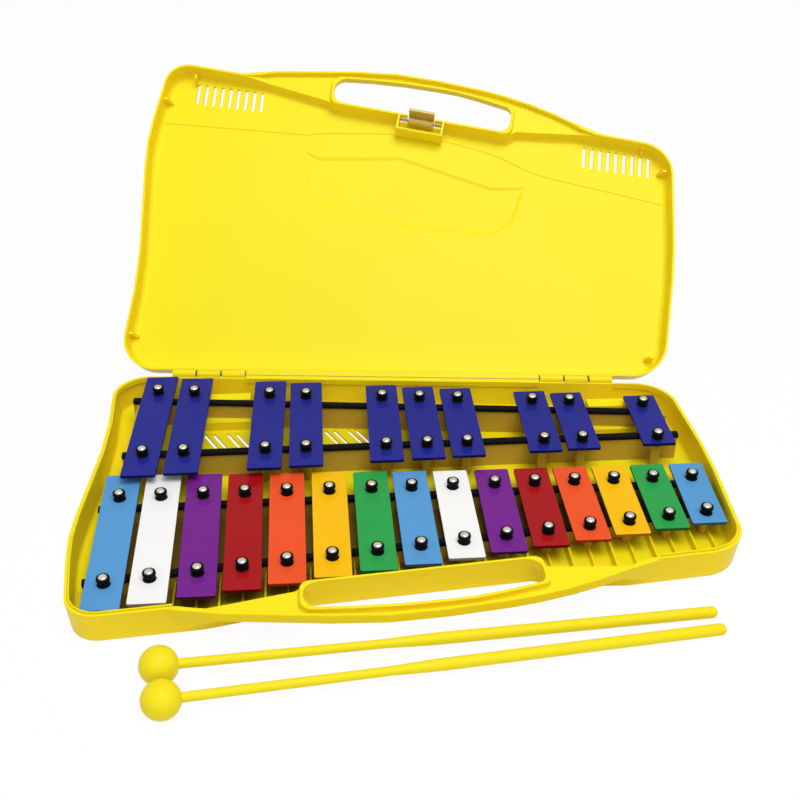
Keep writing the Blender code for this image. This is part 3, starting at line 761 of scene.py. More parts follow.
def row_y(row, edge, position):
    start, step = row[edge]
    return start + step * position


def row_x(position):
    return (position - MIDDLE_STEPS) * PITCH


def strip_top(row):
    return row["top"] - BAR_THICKNESS - GAP


def rail_top(row):
    return strip_top(row) - STRIP_THICKNESS - GAP


def strip_line(row, edge):
    """Both ends of a felt strip's centre line."""
    return [Vector((x, row_y(row, edge, x / PITCH + MIDDLE_STEPS))) for x in row["reach"]]


def bar_ends(row, position):
    """Where a bar starts and ends. Left of the bend the rear ends run back faster."""
    bend, step = row["rear_bend"]
    rear = row_y(row, "rear_end", position) + step * max(0, bend - position)
    return row_y(row, "front_end", position), rear


def screw_spot(row, edge, position):
    """Where a screw stands, on the leaning centre line of its bar."""
    y = row_y(row, edge, position)
    front, rear = row["leans"][row["steps"].index(position)]
    start, end = bar_ends(row, position)
    return Vector((row_x(position) + front + (rear - front) * (y - start) / (end - start), y))


def wall_point(x, distance):
    """The point of the front wall at this x, this far in from its outer face."""
    outline = rounded(drawn_in(wall_corners(), distance))
    for before, after in zip(outline, outline[1:]):
        if before.x < after.x and before.x <= x <= after.x:
            return before.lerp(after, (x - before.x) / (after.x - before.x))
    raise RuntimeError(f"the front wall has no point at x = {x}")


def node_tree(name, inputs, outputs):
    """An empty shader node group with these sockets: (name, kind, default) each."""
    group = bpy.data.node_groups.new(name, "ShaderNodeTree")
    for label, kind, default in inputs:
        socket = group.interface.new_socket(label, in_out="INPUT", socket_type=kind)
        socket.default_value = default
    for label, kind in outputs:
        group.interface.new_socket(label, in_out="OUTPUT", socket_type=kind)
    return group


def surface_unevenness():
    """Node group: a slow mask of tone, and a fine height for a Bump node."""
    name = "Surface unevenness"
    if name in bpy.data.node_groups:
        return bpy.data.node_groups[name]
    group = node_tree(
        name,
        (
            ("Patch size", "NodeSocketFloat", 0.05),
            ("Grain size", "NodeSocketFloat", 0.0006),
            ("Detail", "NodeSocketFloat", 2.0),
        ),
        (("Mask", "NodeSocketFloat"), ("Height", "NodeSocketFloat"), ("Fine", "NodeSocketFloat")),
    )
    nodes, links = group.nodes, group.links
    entry = nodes.new("NodeGroupInput")
    leave = nodes.new("NodeGroupOutput")
    place_at = nodes.new("ShaderNodeTexCoord")
    for source, target in (("Patch size", "Mask"), ("Grain size", "Height")):
        turn = nodes.new("ShaderNodeMath")
        turn.operation = "DIVIDE"
        turn.inputs[0].default_value = 1.0
        links.new(entry.outputs[source], turn.inputs[1])
        wave = nodes.new("ShaderNodeTexNoise")
        links.new(place_at.outputs["Object"], wave.inputs["Vector"])
        links.new(turn.outputs[0], wave.inputs["Scale"])
        links.new(entry.outputs["Detail"], wave.inputs["Detail"])
        links.new(wave.outputs["Fac"], leave.inputs[target])
        if target == "Height":
            spread = nodes.new("ShaderNodeMapRange")
            spread.inputs["From Min"].default_value = 0.3
            spread.inputs["From Max"].default_value = 0.7
            links.new(wave.outputs["Fac"], spread.inputs["Value"])
            links.new(spread.outputs["Result"], leave.inputs["Fine"])
    return group


def base_material(name, roughness, metallic=0.0):
    """A material with the shared unevenness group feeding colour, roughness and bump."""
    made = bpy.data.materials.new(name)
    made.use_nodes = True
    nodes, links = made.node_tree.nodes, made.node_tree.links
    shader = nodes["Principled BSDF"]
    shader.inputs["Metallic"].default_value = metallic
    uneven = nodes.new("ShaderNodeGroup")
    uneven.node_tree = surface_unevenness()
    rough = nodes.new("ShaderNodeMapRange")
    rough.inputs["To Min"].default_value = max(0.02, roughness - 0.04)
    rough.inputs["To Max"].default_value = min(1.0, roughness + 0.05)
    links.new(uneven.outputs["Fine"], rough.inputs["Value"])
    links.new(rough.outputs["Result"], shader.inputs["Roughness"])
    bump = nodes.new("ShaderNodeBump")
    links.new(uneven.outputs["Height"], bump.inputs["Height"])
    links.new(bump.outputs["Normal"], shader.inputs["Normal"])
    return made, shader, uneven, bump


def two_tone(made, shader, mask, first, second):
    """Feeds the shader's colour from a mix of two tones."""
    mix = made.node_tree.nodes.new("ShaderNodeMix")
    mix.data_type = "RGBA"
    mix.inputs["A"].default_value = (*first, 1)
    mix.inputs["B"].default_value = (*second, 1)
    made.node_tree.links.new(mask, mix.inputs["Factor"])
    made.node_tree.links.new(mix.outputs["Result"], shader.inputs["Base Color"])
    return mix


def moulded_plastic(name, light, dark, roughness, grain):
    """Glossy moulded plastic with a faint grain, slow changes of tone, and painted shade: its upright and
    downward-facing sides take the second, darker tone.
    """
    if name in bpy.data.materials:
        return bpy.data.materials[name]
    made, shader, uneven, bump = base_material(name, roughness)
    uneven.inputs["Patch size"].default_value = 0.06
    uneven.inputs["Grain size"].default_value = grain
    bump.inputs["Strength"].default_value = 0.05
    bump.inputs["Distance"].default_value = 0.0002
    nodes, links = made.node_tree.nodes, made.node_tree.links
    facing = nodes.new("ShaderNodeTexCoord")
    apart = nodes.new("ShaderNodeSeparateXYZ")
    links.new(facing.outputs["Normal"], apart.inputs["Vector"])
    # Painted shade: 1 where the surface faces sideways or down, 0 where it faces up; this picks the darker tone
    upright = soft_product(nodes, links, apart.outputs["Z"], (0.7, 0.2), None)
    # The random tone mask, at a fifth of its strength, is added to the painted shade
    faint = nodes.new("ShaderNodeMath")
    faint.operation = "MULTIPLY_ADD"
    faint.inputs[1].default_value = 0.2
    links.new(uneven.outputs["Mask"], faint.inputs[0])
    links.new(upright, faint.inputs[2])
    faint.use_clamp = True
    two_tone(made, shader, faint.outputs[0], light, dark)
    shader.inputs["Specular IOR Level"].default_value = 0.12
    return made


def enamel(name, tone, roughness):
    """Gloss enamel on steel, a little uneven as sprayed paint is, with painted shade: its sides and underside
    take a third of its colour.
    """
    if name in bpy.data.materials:
        return bpy.data.materials[name]
    made, shader, uneven, bump = base_material(name, roughness)
    uneven.inputs["Patch size"].default_value = 0.03
    uneven.inputs["Grain size"].default_value = 0.0016
    bump.inputs["Strength"].default_value = 0.06
    bump.inputs["Distance"].default_value = 0.0002
    mix = two_tone(made, shader, uneven.outputs["Mask"], [c * 1.03 for c in tone], [c * 0.95 for c in tone])
    nodes, links = made.node_tree.nodes, made.node_tree.links
    # Painted shade: faces that turn from up to sideways or down fade to 0.3 of the enamel's colour
    facing = nodes.new("ShaderNodeTexCoord")
    upward = nodes.new("ShaderNodeSeparateXYZ")
    links.new(facing.outputs["Normal"], upward.inputs["Vector"])
    top = nodes.new("ShaderNodeMapRange")
    top.inputs["From Min"].default_value = 0.35
    top.inputs["From Max"].default_value = 0.8
    links.new(upward.outputs["Z"], top.inputs["Value"])
    edge = nodes.new("ShaderNodeMix")
    edge.data_type = "RGBA"
    edge.inputs["A"].default_value = (*[c * 0.3 for c in tone], 1)
    links.new(top.outputs["Result"], edge.inputs["Factor"])
    links.new(mix.outputs["Result"], edge.inputs["B"])
    links.new(edge.outputs["Result"], shader.inputs["Base Color"])
    shader.inputs["Specular IOR Level"].default_value = 0.08
    return made


def felt(tone):
    """Pressed wool felt with short fibres."""
    made, shader, uneven, bump = base_material("pressed_felt", 0.94)
    uneven.inputs["Patch size"].default_value = 0.004
    uneven.inputs["Grain size"].default_value = 0.0004
    uneven.inputs["Detail"].default_value = 5.0
    bump.inputs["Strength"].default_value = 0.6
    bump.inputs["Distance"].default_value = 0.0004
    two_tone(made, shader, uneven.outputs["Mask"], [c * 0.5 for c in tone], [c * 1.6 for c in tone])
    shader.inputs["Specular IOR Level"].default_value = 0.1
    return made


def rubber(tone):
    """Black rubber with a soft sheen."""
    made, shader, uneven, bump = base_material("black_rubber", 0.55)
    uneven.inputs["Patch size"].default_value = 0.003
    uneven.inputs["Grain size"].default_value = 0.0003
    bump.inputs["Strength"].default_value = 0.1
    bump.inputs["Distance"].default_value = 0.0002
    two_tone(made, shader, uneven.outputs["Mask"], tone, [c * 1.8 for c in tone])
    shader.inputs["Specular IOR Level"].default_value = 0.04
    return made


def bright_steel(name, tone):
    """Plated steel with fine wear."""
    made, shader, uneven, bump = base_material(name, 0.2, 1.0)
    uneven.inputs["Patch size"].default_value = 0.002
    uneven.inputs["Grain size"].default_value = 0.0005
    bump.inputs["Strength"].default_value = 0.08
    bump.inputs["Distance"].default_value = 0.0001
    two_tone(made, shader, uneven.outputs["Mask"], tone, [c * 0.82 for c in tone])
    return made


def clear_plastic(tone):
    """Amber plastic of the latch, smooth and a little cloudy."""
    made, shader, uneven, bump = base_material("amber_plastic", 0.22)
    uneven.inputs["Patch size"].default_value = 0.008
    uneven.inputs["Grain size"].default_value = 0.001
    bump.inputs["Strength"].default_value = 0.05
    bump.inputs["Distance"].default_value = 0.0002
    two_tone(made, shader, uneven.outputs["Mask"], tone, [c * 0.7 for c in tone])
    shader.inputs["Coat Weight"].default_value = 0.15
    return made


def case_plastic(context):
    look = context.scene.metallophone_case
    return moulded_plastic("case_plastic", look.yellow, look.painted_side_shade, look.roughness, look.grain)


def tray_plastic_painted_shade(look):
    """The case's plastic, with painted shade: a dark brown tone on the floor below and in front of the front
    row of bars.
    """
    made = moulded_plastic("tray_plastic_painted_shade", look.yellow, look.painted_side_shade, look.roughness, look.grain)
    nodes, links = made.node_tree.nodes, made.node_tree.links
    place_at = nodes.new("ShaderNodeTexCoord")
    apart = nodes.new("ShaderNodeSeparateXYZ")
    links.new(place_at.outputs["Object"], apart.inputs["Vector"])
    # Painted shade mask: 1 on the floor between the two lines, inside the end walls and low down, fading out
    # over 8 mm at the lines and from 3 mm to 17 mm in height
    painted_shade_mask = None
    for line_ends, sense in ((PAINTED_SHADE_FRONT, 1), (PAINTED_SHADE_REAR, -1)):
        start, end = (Vector(point) * MM for point in line_ends)
        slope = (end.y - start.y) / (end.x - start.x)
        line = nodes.new("ShaderNodeMath")
        line.operation = "MULTIPLY_ADD"
        line.inputs[1].default_value = slope
        line.inputs[2].default_value = start.y - slope * start.x
        links.new(apart.outputs["X"], line.inputs[0])
        past = nodes.new("ShaderNodeMath")
        past.operation = "SUBTRACT"
        first, second = (apart.outputs["Y"], line.outputs[0])[::sense]
        links.new(first, past.inputs[0])
        links.new(second, past.inputs[1])
        painted_shade_mask = soft_product(nodes, links, past.outputs[0], (-8 * MM, 8 * MM), painted_shade_mask)
    for output, edges in (("X", (-226, -206)), ("X", (224, 206)), ("Z", (17, 3))):
        painted_shade_mask = soft_product(nodes, links, apart.outputs[output], [edge * MM for edge in edges], painted_shade_mask)
    shader = nodes["Principled BSDF"]
    tone = shader.inputs["Base Color"].links[0].from_socket
    # Mixes the painted shade's dark brown over the plastic's tone
    mix = nodes.new("ShaderNodeMix")
    mix.data_type = "RGBA"
    mix.inputs["B"].default_value = (*look.below, 1)
    links.new(painted_shade_mask, mix.inputs["Factor"])
    links.new(tone, mix.inputs["A"])
    links.new(mix.outputs["Result"], shader.inputs["Base Color"])
    return made


def soft_product(nodes, links, value, span, other):
    """The other mask times a soft step of this value from the first to the second of the span."""
    step = nodes.new("ShaderNodeMapRange")
    step.interpolation_type = "SMOOTHSTEP"
    step.inputs["From Min"].default_value = min(span)
    step.inputs["From Max"].default_value = max(span)
    if span[0] > span[1]:
        step.inputs["To Min"].default_value = 1.0
        step.inputs["To Max"].default_value = 0.0
    links.new(value, step.inputs["Value"])
    if other is None:
        return step.outputs["Result"]
    both = nodes.new("ShaderNodeMath")
    both.operation = "MULTIPLY"
    links.new(other, both.inputs[0])
    links.new(step.outputs["Result"], both.inputs[1])
    return both.outputs[0]


def seen_or_mirrored(nodes, links):
    """1 for what the camera sees, also in metal and through clear pieces, and 0 for lighting."""
    path = nodes.new("ShaderNodeLightPath")
    value = path.outputs["Is Camera Ray"]
    for ray in ("Is Glossy Ray", "Is Transmission Ray"):
        either = nodes.new("ShaderNodeMath")
        either.operation = "MAXIMUM"
        links.new(value, either.inputs[0])
        links.new(path.outputs[ray], either.inputs[1])
        value = either.outputs[0]
    return value


class METALLOPHONE_OT_tray(bpy.types.Operator):
    """Make the lower half of the case with its rails, posts and hinge knuckles"""

    bl_idname = "metallophone.tray"
    bl_label = "Tray"

    def execute(self, context):
        look = context.scene.metallophone_case
        yellow = case_plastic(context)
        tray = shell("case_tray", TRAY_HEIGHT, -1, TRAY_HEIGHT, TRAY_FILLET, 0.0)
        width, depth, tall = CATCH
        notch = box("notch", (-width / 2, -CUT, -CATCH_DROP - tall), (width / 2, depth, -CATCH_DROP))
        cuts = [place(notch, slot_frame(TRAY_HEIGHT))]
        width, length = FLOOR_SLOT_SIZE
        for x in FLOOR_SLOTS:
            corners = [(-width / 2, -length / 2), (width / 2, -length / 2)]
            corners += [(width / 2, length / 2), (-width / 2, length / 2)]
            slot = slab("slot", rounded([(*corner, width / 2.2) for corner in corners]), -CUT, FLOOR + CUT)
            turn = Matrix.Rotation(FLOOR_SLOT_ANGLE, 4, "Z")
            cuts.append(place(slot, Matrix.Translation((x, FLOOR_SLOT_Y, 0)) @ turn))
        combine(tray, cuts, "DIFFERENCE")
        # The tray and its ribs take the plastic with painted shade on the floor below the bars
        painted_shade_plastic = tray_plastic_painted_shade(look)
        dressed(tray, painted_shade_plastic, "case", ("tray",))
        # Painted shade: the rails take a dark brown in place of the case's yellow, a little paler on their tops
        pale = [tone * 1.1 for tone in look.rails]
        deep = moulded_plastic("rail_painted_shade", pale, look.rails, look.roughness, look.grain)
        dressed(self.rails(look), deep, "case")
        dressed(self.ribs(look), painted_shade_plastic, "case")
        dressed(self.rim_tongue(), yellow, "case")
        knuckles = []
        for centre in HINGE_CENTRES:
            knuckles.append(place(knuckle("knuckle", -1, KNUCKLE_LENGTH), hinge_frame(centre)))
        knuckles.append(hinge_lip(-1))
        dressed(gathered("tray_knuckles", knuckles), yellow, "case")
        return {"FINISHED"}

    def rails(self, look):
        """The rails below the felt, and the posts below the screws."""
        parts = []
        edge = look.rounding / MM
        for row in (NATURALS, ACCIDENTALS):
            top = rail_top(row)
            for side in ("front", "rear"):
                ends = strip_line(row, f"{side}_strip")
                parts.append(eased(beam("rail", ends, RAIL_WIDTH, FLOOR / 2, top), edge))
                profile = (
                    (POST_RADIUS + 0.3, FLOOR / 2),
                    (POST_RADIUS + 0.3, FLOOR + 0.2),
                    (POST_RADIUS + 0.05, FLOOR + 1.2),
                    (POST_RADIUS, top - 0.5),
                    (POST_RADIUS - 0.15, top - 0.15),
                    (POST_RADIUS - 0.5, top - 0.02),
                )
                for position in row["steps"]:
                    spot = screw_spot(row, f"{side}_screw", position)
                    parts.append(place(lathe("post", profile, 28), Matrix.Translation((*spot, 0))))
        for x in END_WALLS:
            position = x / PITCH + MIDDLE_STEPS
            ends = [Vector((x, row_y(ACCIDENTALS, side, position))) for side in ("front_strip", "rear_strip")]
            parts.append(eased(beam("end_wall", ends, WALL, FLOOR / 2, rail_top(ACCIDENTALS) - 0.04), edge))
        return gathered("tray_rails", parts)

    def ribs(self, look):
        """The low ribs from the front wall to the front posts, and the pads by the hinges."""
        parts = []
        edge = look.rounding / MM
        for blocks, top in ((PADS, PAD_TOP), (LEDGES, LEDGE_TOP)):
            for low, high in blocks:
                parts.append(eased(box("pad", (*low, FLOOR / 2), (*high, top)), edge * 2))
        width, height = look.rib_width / MM, look.rib_height / MM
        middle = WALL / 2 + DRAFT * (TRAY_HEIGHT - height / 2)
        for step in RIB_STEPS:
            for position, top, line in ((step - 0.5, height, "front_strip"), (step, height - 2, "front_screw")):
                if position > NATURAL_STEPS[-1]:
                    continue
                x = row_x(position)
                ends = [wall_point(x, middle), Vector((x, row_y(NATURALS, line, position)))]
                parts.append(eased(beam("rib", ends, width, FLOOR / 2, top), edge * 0.8))
        return gathered("tray_ribs", parts)

    def rim_tongue(self):
        """The thin band inside the rim, left out along the handle and at the hinges."""
        corners = [(x, y, radius * TONGUE_EASE) for x, y, radius in wall_corners()]
        band = sweep("tray_rim_tongue", corners, TRAY_HEIGHT, -1, TONGUE_SECTION, True)
        low, high = TONGUE_GAP
        gaps = [box("gap", (*low, 0), (*high, TRAY_HEIGHT + 2 * CUT))]
        length, depth = HINGE_ZONE
        for centre in HINGE_CENTRES:
            zone = box("zone", (-length / 2, -HINGE_SETBACK - depth, -depth), (length / 2, depth, depth))
            gaps.append(place(zone, hinge_frame(centre)))
        return combine(band, gaps, "DIFFERENCE")


class METALLOPHONE_OT_lid(bpy.types.Operator):
    """Make the upper half of the case with its vents, latch housing and hinge knuckles"""

    bl_idname = "metallophone.lid"
    bl_label = "Lid"

    def execute(self, context):
        yellow = case_plastic(context)
        rim = TRAY_HEIGHT + LID_SEAT
        ceiling = rim + LID_HEIGHT - FLOOR
        lid = shell("case_lid", rim, 1, LID_HEIGHT, LID_FILLET, LID_RING_DROP)
        width, depth = HOUSING
        frame_here = slot_frame(rim)
        tall = LID_HEIGHT - FLOOR / 2
        corners = []
        for x in (-width / 2, width / 2):
            corners += [(x, WALL / 2, 0.02), (x, WALL / 2 + HOUSING_LEAN, tall)]
            corners += [(x, depth - 0.6, 0.02), (x, depth, 0.6), (x, depth, tall)]
        parts = [place(hull("block", corners), frame_here)]
        rows = ((STEP_SLOPE, -STEP_RISE), (0.0, 0.0), (0.0, FLOOR / 2))
        parts += [sweep("step", outline, ceiling, 1, rows) for outline in (STEP_LEFT, STEP_RIGHT)]
        combine(lid, parts, "UNION")
        inner = width / 2 - HOUSING_WALL
        rear = depth - HOUSING_WALL
        start, end = TONGUE
        well = box("well", (-inner, -CUT, LATCH_BRIDGE), (inner, rear, HOUSING_WELL))
        mouth = box("mouth", (-inner, WALL - 0.1, -CUT), (inner, rear, LATCH_BRIDGE + CUT))
        notch = box("notch", (start - 0.8, -CUT, -2 * CUT), (end + 0.8, 1.6 * WALL, LATCH_BRIDGE + 0.6))
        pivot = frame_here @ Matrix.Translation((0, *LATCH_PIN))
        drill = rod("drill", LATCH_PIN_RADIUS + GAP, -inner - 1, inner + 1, 20)
        cuts = [place(cut, frame_here) for cut in (well, mouth, notch)]
        cuts += [place(drill, pivot), *self.vents(ceiling)]
        rows = [(-PLAQUE_SLOPE, -CUT)]
        for part, deep in ((1.0, 0.0), (0.72, 0.14), (0.28, 0.86), (0.0, 1.0)):
            rows.append((-PLAQUE_SLOPE * part, PLAQUE_DEPTH * deep))
        cuts.append(sweep("plaque", PLAQUE, ceiling, 1, rows))
        combine(lid, cuts, "DIFFERENCE")
        dressed(opened(lid), yellow, "lid", ("lid",), 22)
        gussets = [self.gusset(rim, ceiling, *spot) for spot in GUSSETS]
        dressed(opened(gathered("lid_gussets", gussets)), yellow, "lid")
        knuckles = []
        shift = KNUCKLE_LENGTH + 2 * GAP
        for centre in HINGE_CENTRES:
            for along in (centre - shift, centre + shift):
                knuckles.append(place(knuckle("knuckle", 1, KNUCKLE_LENGTH), hinge_frame(along)))
        knuckles.append(hinge_lip(1))
        dressed(opened(gathered("lid_knuckles", knuckles)), yellow, "lid")
        return {"FINISHED"}

    def gusset(self, rim, ceiling, x, y, degrees):
        """A small web that stiffens a corner, from the wall towards the middle of the lid."""
        half = GUSSET_WIDTH / 2
        corners = []
        for side in (-half, half):
            corners += [(-3, side, rim + 5), (-3, side, ceiling + 1), (0.4, side, rim + 5)]
            corners += [(4.4, side, ceiling - 1.0), (4.4, side, ceiling + 1)]
        turn = Matrix.Rotation(math.radians(degrees), 4, "Z")
        return place(hull("gusset", corners), Matrix.Translation((x, y, 0)) @ turn)

    def vents(self, ceiling):
        """The slots through the lid, with rounded ends."""
        made = []
        for start_x, start_y, slope in VENTS:
            for index in range(VENT_COUNT):
                x = start_x + index * VENT_PITCH
                y = start_y + index * VENT_PITCH * slope
                corners = []
                for across, along in ((-1, -1), (1, -1), (1, 1), (-1, 1)):
                    corners.append((x + across * VENT_WIDTH / 2, y + along * VENT_LENGTH / 2, VENT_WIDTH / 2.2))
                made.append(slab("vent", rounded(corners), ceiling - CUT, ceiling + FLOOR + CUT))
        return made


class METALLOPHONE_OT_latch(bpy.types.Operator):
    """Make the latch tongue and finish its pin and the hinge pins"""

    bl_idname = "metallophone.latch"
    bl_label = "Latch and pins"

    def execute(self, context):
        look = context.scene.metallophone_latch
        amber = clear_plastic(look.amber)
        dark = bright_steel("pin_steel", context.scene.metallophone_supports.pins)
        start, end = TONGUE
        frame_here = slot_frame(TRAY_HEIGHT + LID_SEAT)
        pivot = frame_here @ Matrix.Translation((0, *LATCH_PIN))
        low, high = TONGUE_REACH
        front = -GAP - TONGUE_THICKNESS
        edge = look.bevel / MM
        latch = place(eased(box("latch_tongue", (start, front, low), (end, -GAP, high)), edge), frame_here)
        roll = place(rod("roll", LATCH_ROLL, start + 0.3, end - 0.3, 28, edge), pivot)
        across, centre = LATCH_PIN
        low = (start + 0.4, front + TONGUE_THICKNESS / 2, centre - LATCH_WEB)
        web = box("web", low, (end - 0.4, across, centre + LATCH_WEB))
        combine(latch, [roll, place(web, frame_here)], "UNION")
        drill = place(rod("drill", LATCH_PIN_RADIUS + GAP, 2 * start, 2 * end, 20), pivot)
        combine(latch, [drill], "DIFFERENCE")
        dressed(opened(latch), amber, "latch", ("latch",))
        for name, finish in (("latch_pin", amber), ("hinge_pin_left", dark), ("hinge_pin_right", dark)):
            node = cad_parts[name]
            node.data.materials.clear()
            node.data.materials.append(finish)
        return {"FINISHED"}


class METALLOPHONE_OT_supports(bpy.types.Operator):
    """Make the felt strips, and the rubber sleeves and screws that hold the bars"""

    bl_idname = "metallophone.supports"
    bl_label = "Felt, sleeves and screws"

    def execute(self, context):
        look = context.scene.metallophone_supports
        wool = felt(look.felt)
        black = rubber(look.rubber)
        steel = bright_steel("plated_steel", look.steel)
        dome = look.dome / MM
        for label, row in (("natural", NATURALS), ("accidental", ACCIDENTALS)):
            for side in ("front", "rear"):
                top = strip_top(row)
                low = top - STRIP_THICKNESS
                start, end = strip_line(row, f"{side}_strip")
                if row is ACCIDENTALS and side == "rear":
                    end = end.lerp(start, STRIP_SHORT / (end.x - start.x))
                strip = eased(beam(f"{label}_{side}_felt", (start, end), STRIP_WIDTH, low, top), 0.35)
                dressed(strip, wool, "case", (f"{label}_{side}_strip",))
                sleeves, screws = [], []
                for position in row["steps"]:
                    spot = Matrix.Translation((*screw_spot(row, f"{side}_screw", position), 0))
                    sleeves.append(place(self.sleeve(row), spot))
                    screws.append(place(self.screw(row, dome), spot))
                dressed(gathered(f"{label}_{side}_sleeves", sleeves), black, "case")
                dressed(gathered(f"{label}_{side}_screws", screws), steel, "case", degrees=50)
        return {"FINISHED"}

    def sleeve(self, row):
        """A rubber sleeve: a neck through the bar, and a wide collar round the screw's head."""
        low = strip_top(row) - STRIP_THICKNESS + 0.4
        top = row["top"]
        collar = top + SLEEVE_HEIGHT + COLLAR_RISE
        profile = (
            (SLEEVE_RADIUS, low),
            (SLEEVE_RADIUS, top - BAR_THICKNESS),
            (HOLE_RADIUS - 0.12, top - BAR_THICKNESS + 0.2),
            (HOLE_RADIUS - 0.12, top - 0.15),
            (SLEEVE_RADIUS, top + 0.2),
            (SLEEVE_RADIUS - 0.1, collar - 3.6),
            (SLEEVE_RADIUS + 0.1, collar - 3.1),
            (COLLAR_RADIUS - 0.25, collar - 2.5),
            (COLLAR_RADIUS, collar - 2.0),
            (COLLAR_RADIUS, collar - 0.5),
            (COLLAR_RADIUS - 0.15, collar - 0.15),
            (COLLAR_RADIUS - 0.5, collar),
            (HEAD_SEAT, collar),
            (HEAD_SEAT - 0.1, collar - 0.6),
        )
        return lathe("sleeve", profile, 32)

    def screw(self, row, dome):
        """A domed screw head set in the collar."""
        low = row["top"] + SLEEVE_HEIGHT + COLLAR_RISE - 0.7
        profile = [(dome, low), (dome, low + 0.6)]
        for step in range(1, 8):
            angle = math.pi / 2 * step / 8
            profile.append((dome * math.cos(angle), low + 0.6 + HEAD_RISE * math.sin(angle)))
        profile.append((0.05, low + 0.6 + HEAD_RISE))
        return lathe("screw", profile, 32)


class METALLOPHONE_OT_bars(bpy.types.Operator):
    """Make the painted bars of both rows"""

    bl_idname = "metallophone.bars"
    bl_label = "Bars"

    def execute(self, context):
        look = context.scene.metallophone_bars
        scale = sorted(NATURAL_STEPS + ACCIDENTAL_STEPS)
        for index, position in enumerate(scale):
            natural = position in NATURAL_STEPS
            row = NATURALS if natural else ACCIDENTALS
            name = "blue"
            if natural:
                name = NATURAL_COLOURS[NATURAL_STEPS.index(position) % len(NATURAL_COLOURS)]
            kind = "natural" if natural else "accidental"
            paint = enamel(f"{name}_enamel", getattr(look, name), look.roughness)
            bar = self.plate(f"painted_bar_{index + 1:02d}", row, position, look.bevel / MM)
            dressed(bar, paint, "case", (f"bar_{index + 1:02d}_{kind}",), 30)
        return {"FINISHED"}

    def plate(self, name, row, position, edge):
        """One bar with rounded edges and a rounded mouth to each hole."""
        x = row_x(position)
        front, rear = bar_ends(row, position)
        shifts = row["leans"][row["steps"].index(position)]
        half = BAR_WIDTH / 2
        corners = []
        for way, y, shift in ((-1, front, 0), (1, front, 0), (1, rear, 1), (-1, rear, 1)):
            corners.append((x + shifts[shift] + way * half, y, BAR_CORNER))
        mid = 0.29 * edge
        thick = BAR_THICKNESS
        rows = ((edge, 0.0), (mid, mid), (0.0, edge), (0.0, thick - edge), (mid, thick - mid), (edge, thick))
        bar = sweep(name, corners, row["top"], -1, rows)
        holes = []
        for side in ("front_screw", "rear_screw"):
            high, low = row["top"], row["top"] - thick
            profile = (
                (HOLE_RADIUS + edge, high + CUT),
                (HOLE_RADIUS + edge, high),
                (HOLE_RADIUS + mid, high - mid),
                (HOLE_RADIUS, high - edge),
                (HOLE_RADIUS, low + edge),
                (HOLE_RADIUS + edge, low),
                (HOLE_RADIUS + edge, low - CUT),
            )
            hole = lathe("hole", profile, 32)
            holes.append(place(hole, Matrix.Translation((*screw_spot(row, side, position), 0))))
        return combine(bar, holes, "DIFFERENCE")


class METALLOPHONE_OT_mallets(bpy.types.Operator):
    """Make the two mallets, each a ball on a tapered stick"""

    bl_idname = "metallophone.mallets"
    bl_label = "Mallets"

    def execute(self, context):
        look = context.scene.metallophone_mallets
        # Painted shade: the mallets' sideways and downward-facing surfaces take this slightly darker tone
        painted_side_shade = [tone * 0.94 for tone in look.yellow]
        yellow = moulded_plastic("mallet_plastic", look.yellow, painted_side_shade, 0.32, 0.0006)
        for index in (0, 1):
            self.mallet(index, look.seam / MM, yellow)
        return {"FINISHED"}

    def mallet(self, index, seam, yellow):
        radius = BALL_DIAMETER / 2
        beside = index * (BALL_DIAMETER + BALL_GAP) * Vector((math.cos(BALL_TURN), math.sin(BALL_TURN)))
        centre = Vector((*(Vector(FIRST_BALL) + beside), radius))
        way = Vector((*STICK_ENDS[index], STICK_END_HEIGHT)) - centre
        length = way.length - radius
        spot = Matrix.Translation(centre) @ way.to_track_quat("Z", "X").to_matrix().to_4x4()
        rings = 24
        profile = []
        for ring in range(1, rings):
            angle = math.pi * ring / rings
            swell = 0.0 if ring != rings // 2 else seam
            reach = radius - seam + swell
            profile.append((reach * math.sin(angle), -reach * math.cos(angle)))
        neck = STICK_PROFILE[0][1]
        start = radius - SOCKET_DEPTH
        ball = lathe(f"mallet_ball_{index + 1}", profile, 48)
        socket = lathe("socket", ((neck + GAP, start), (neck + GAP, 2 * radius)), 32)
        combine(ball, [socket], "DIFFERENCE")
        rows = [(neck, start + GAP)]
        for part, thick in STICK_PROFILE:
            rows.append((thick, radius + part * length))
        end_radius = STICK_PROFILE[-1][1]
        for degrees in (15, 30, 45, 60, 75):
            angle = math.radians(degrees)
            z = radius + STICK_PROFILE[-1][0] * length + end_radius * math.sin(angle)
            rows.append((end_radius * math.cos(angle), z))
        stick = lathe(f"mallet_rod_{index + 1}", rows, 32)
        body = f"mallet_{index + 1}"
        dressed(place(ball, spot), yellow, body, (f"{body}_head",), 60)
        dressed(place(stick, spot), yellow, body, (f"{body}_stick",), 40)


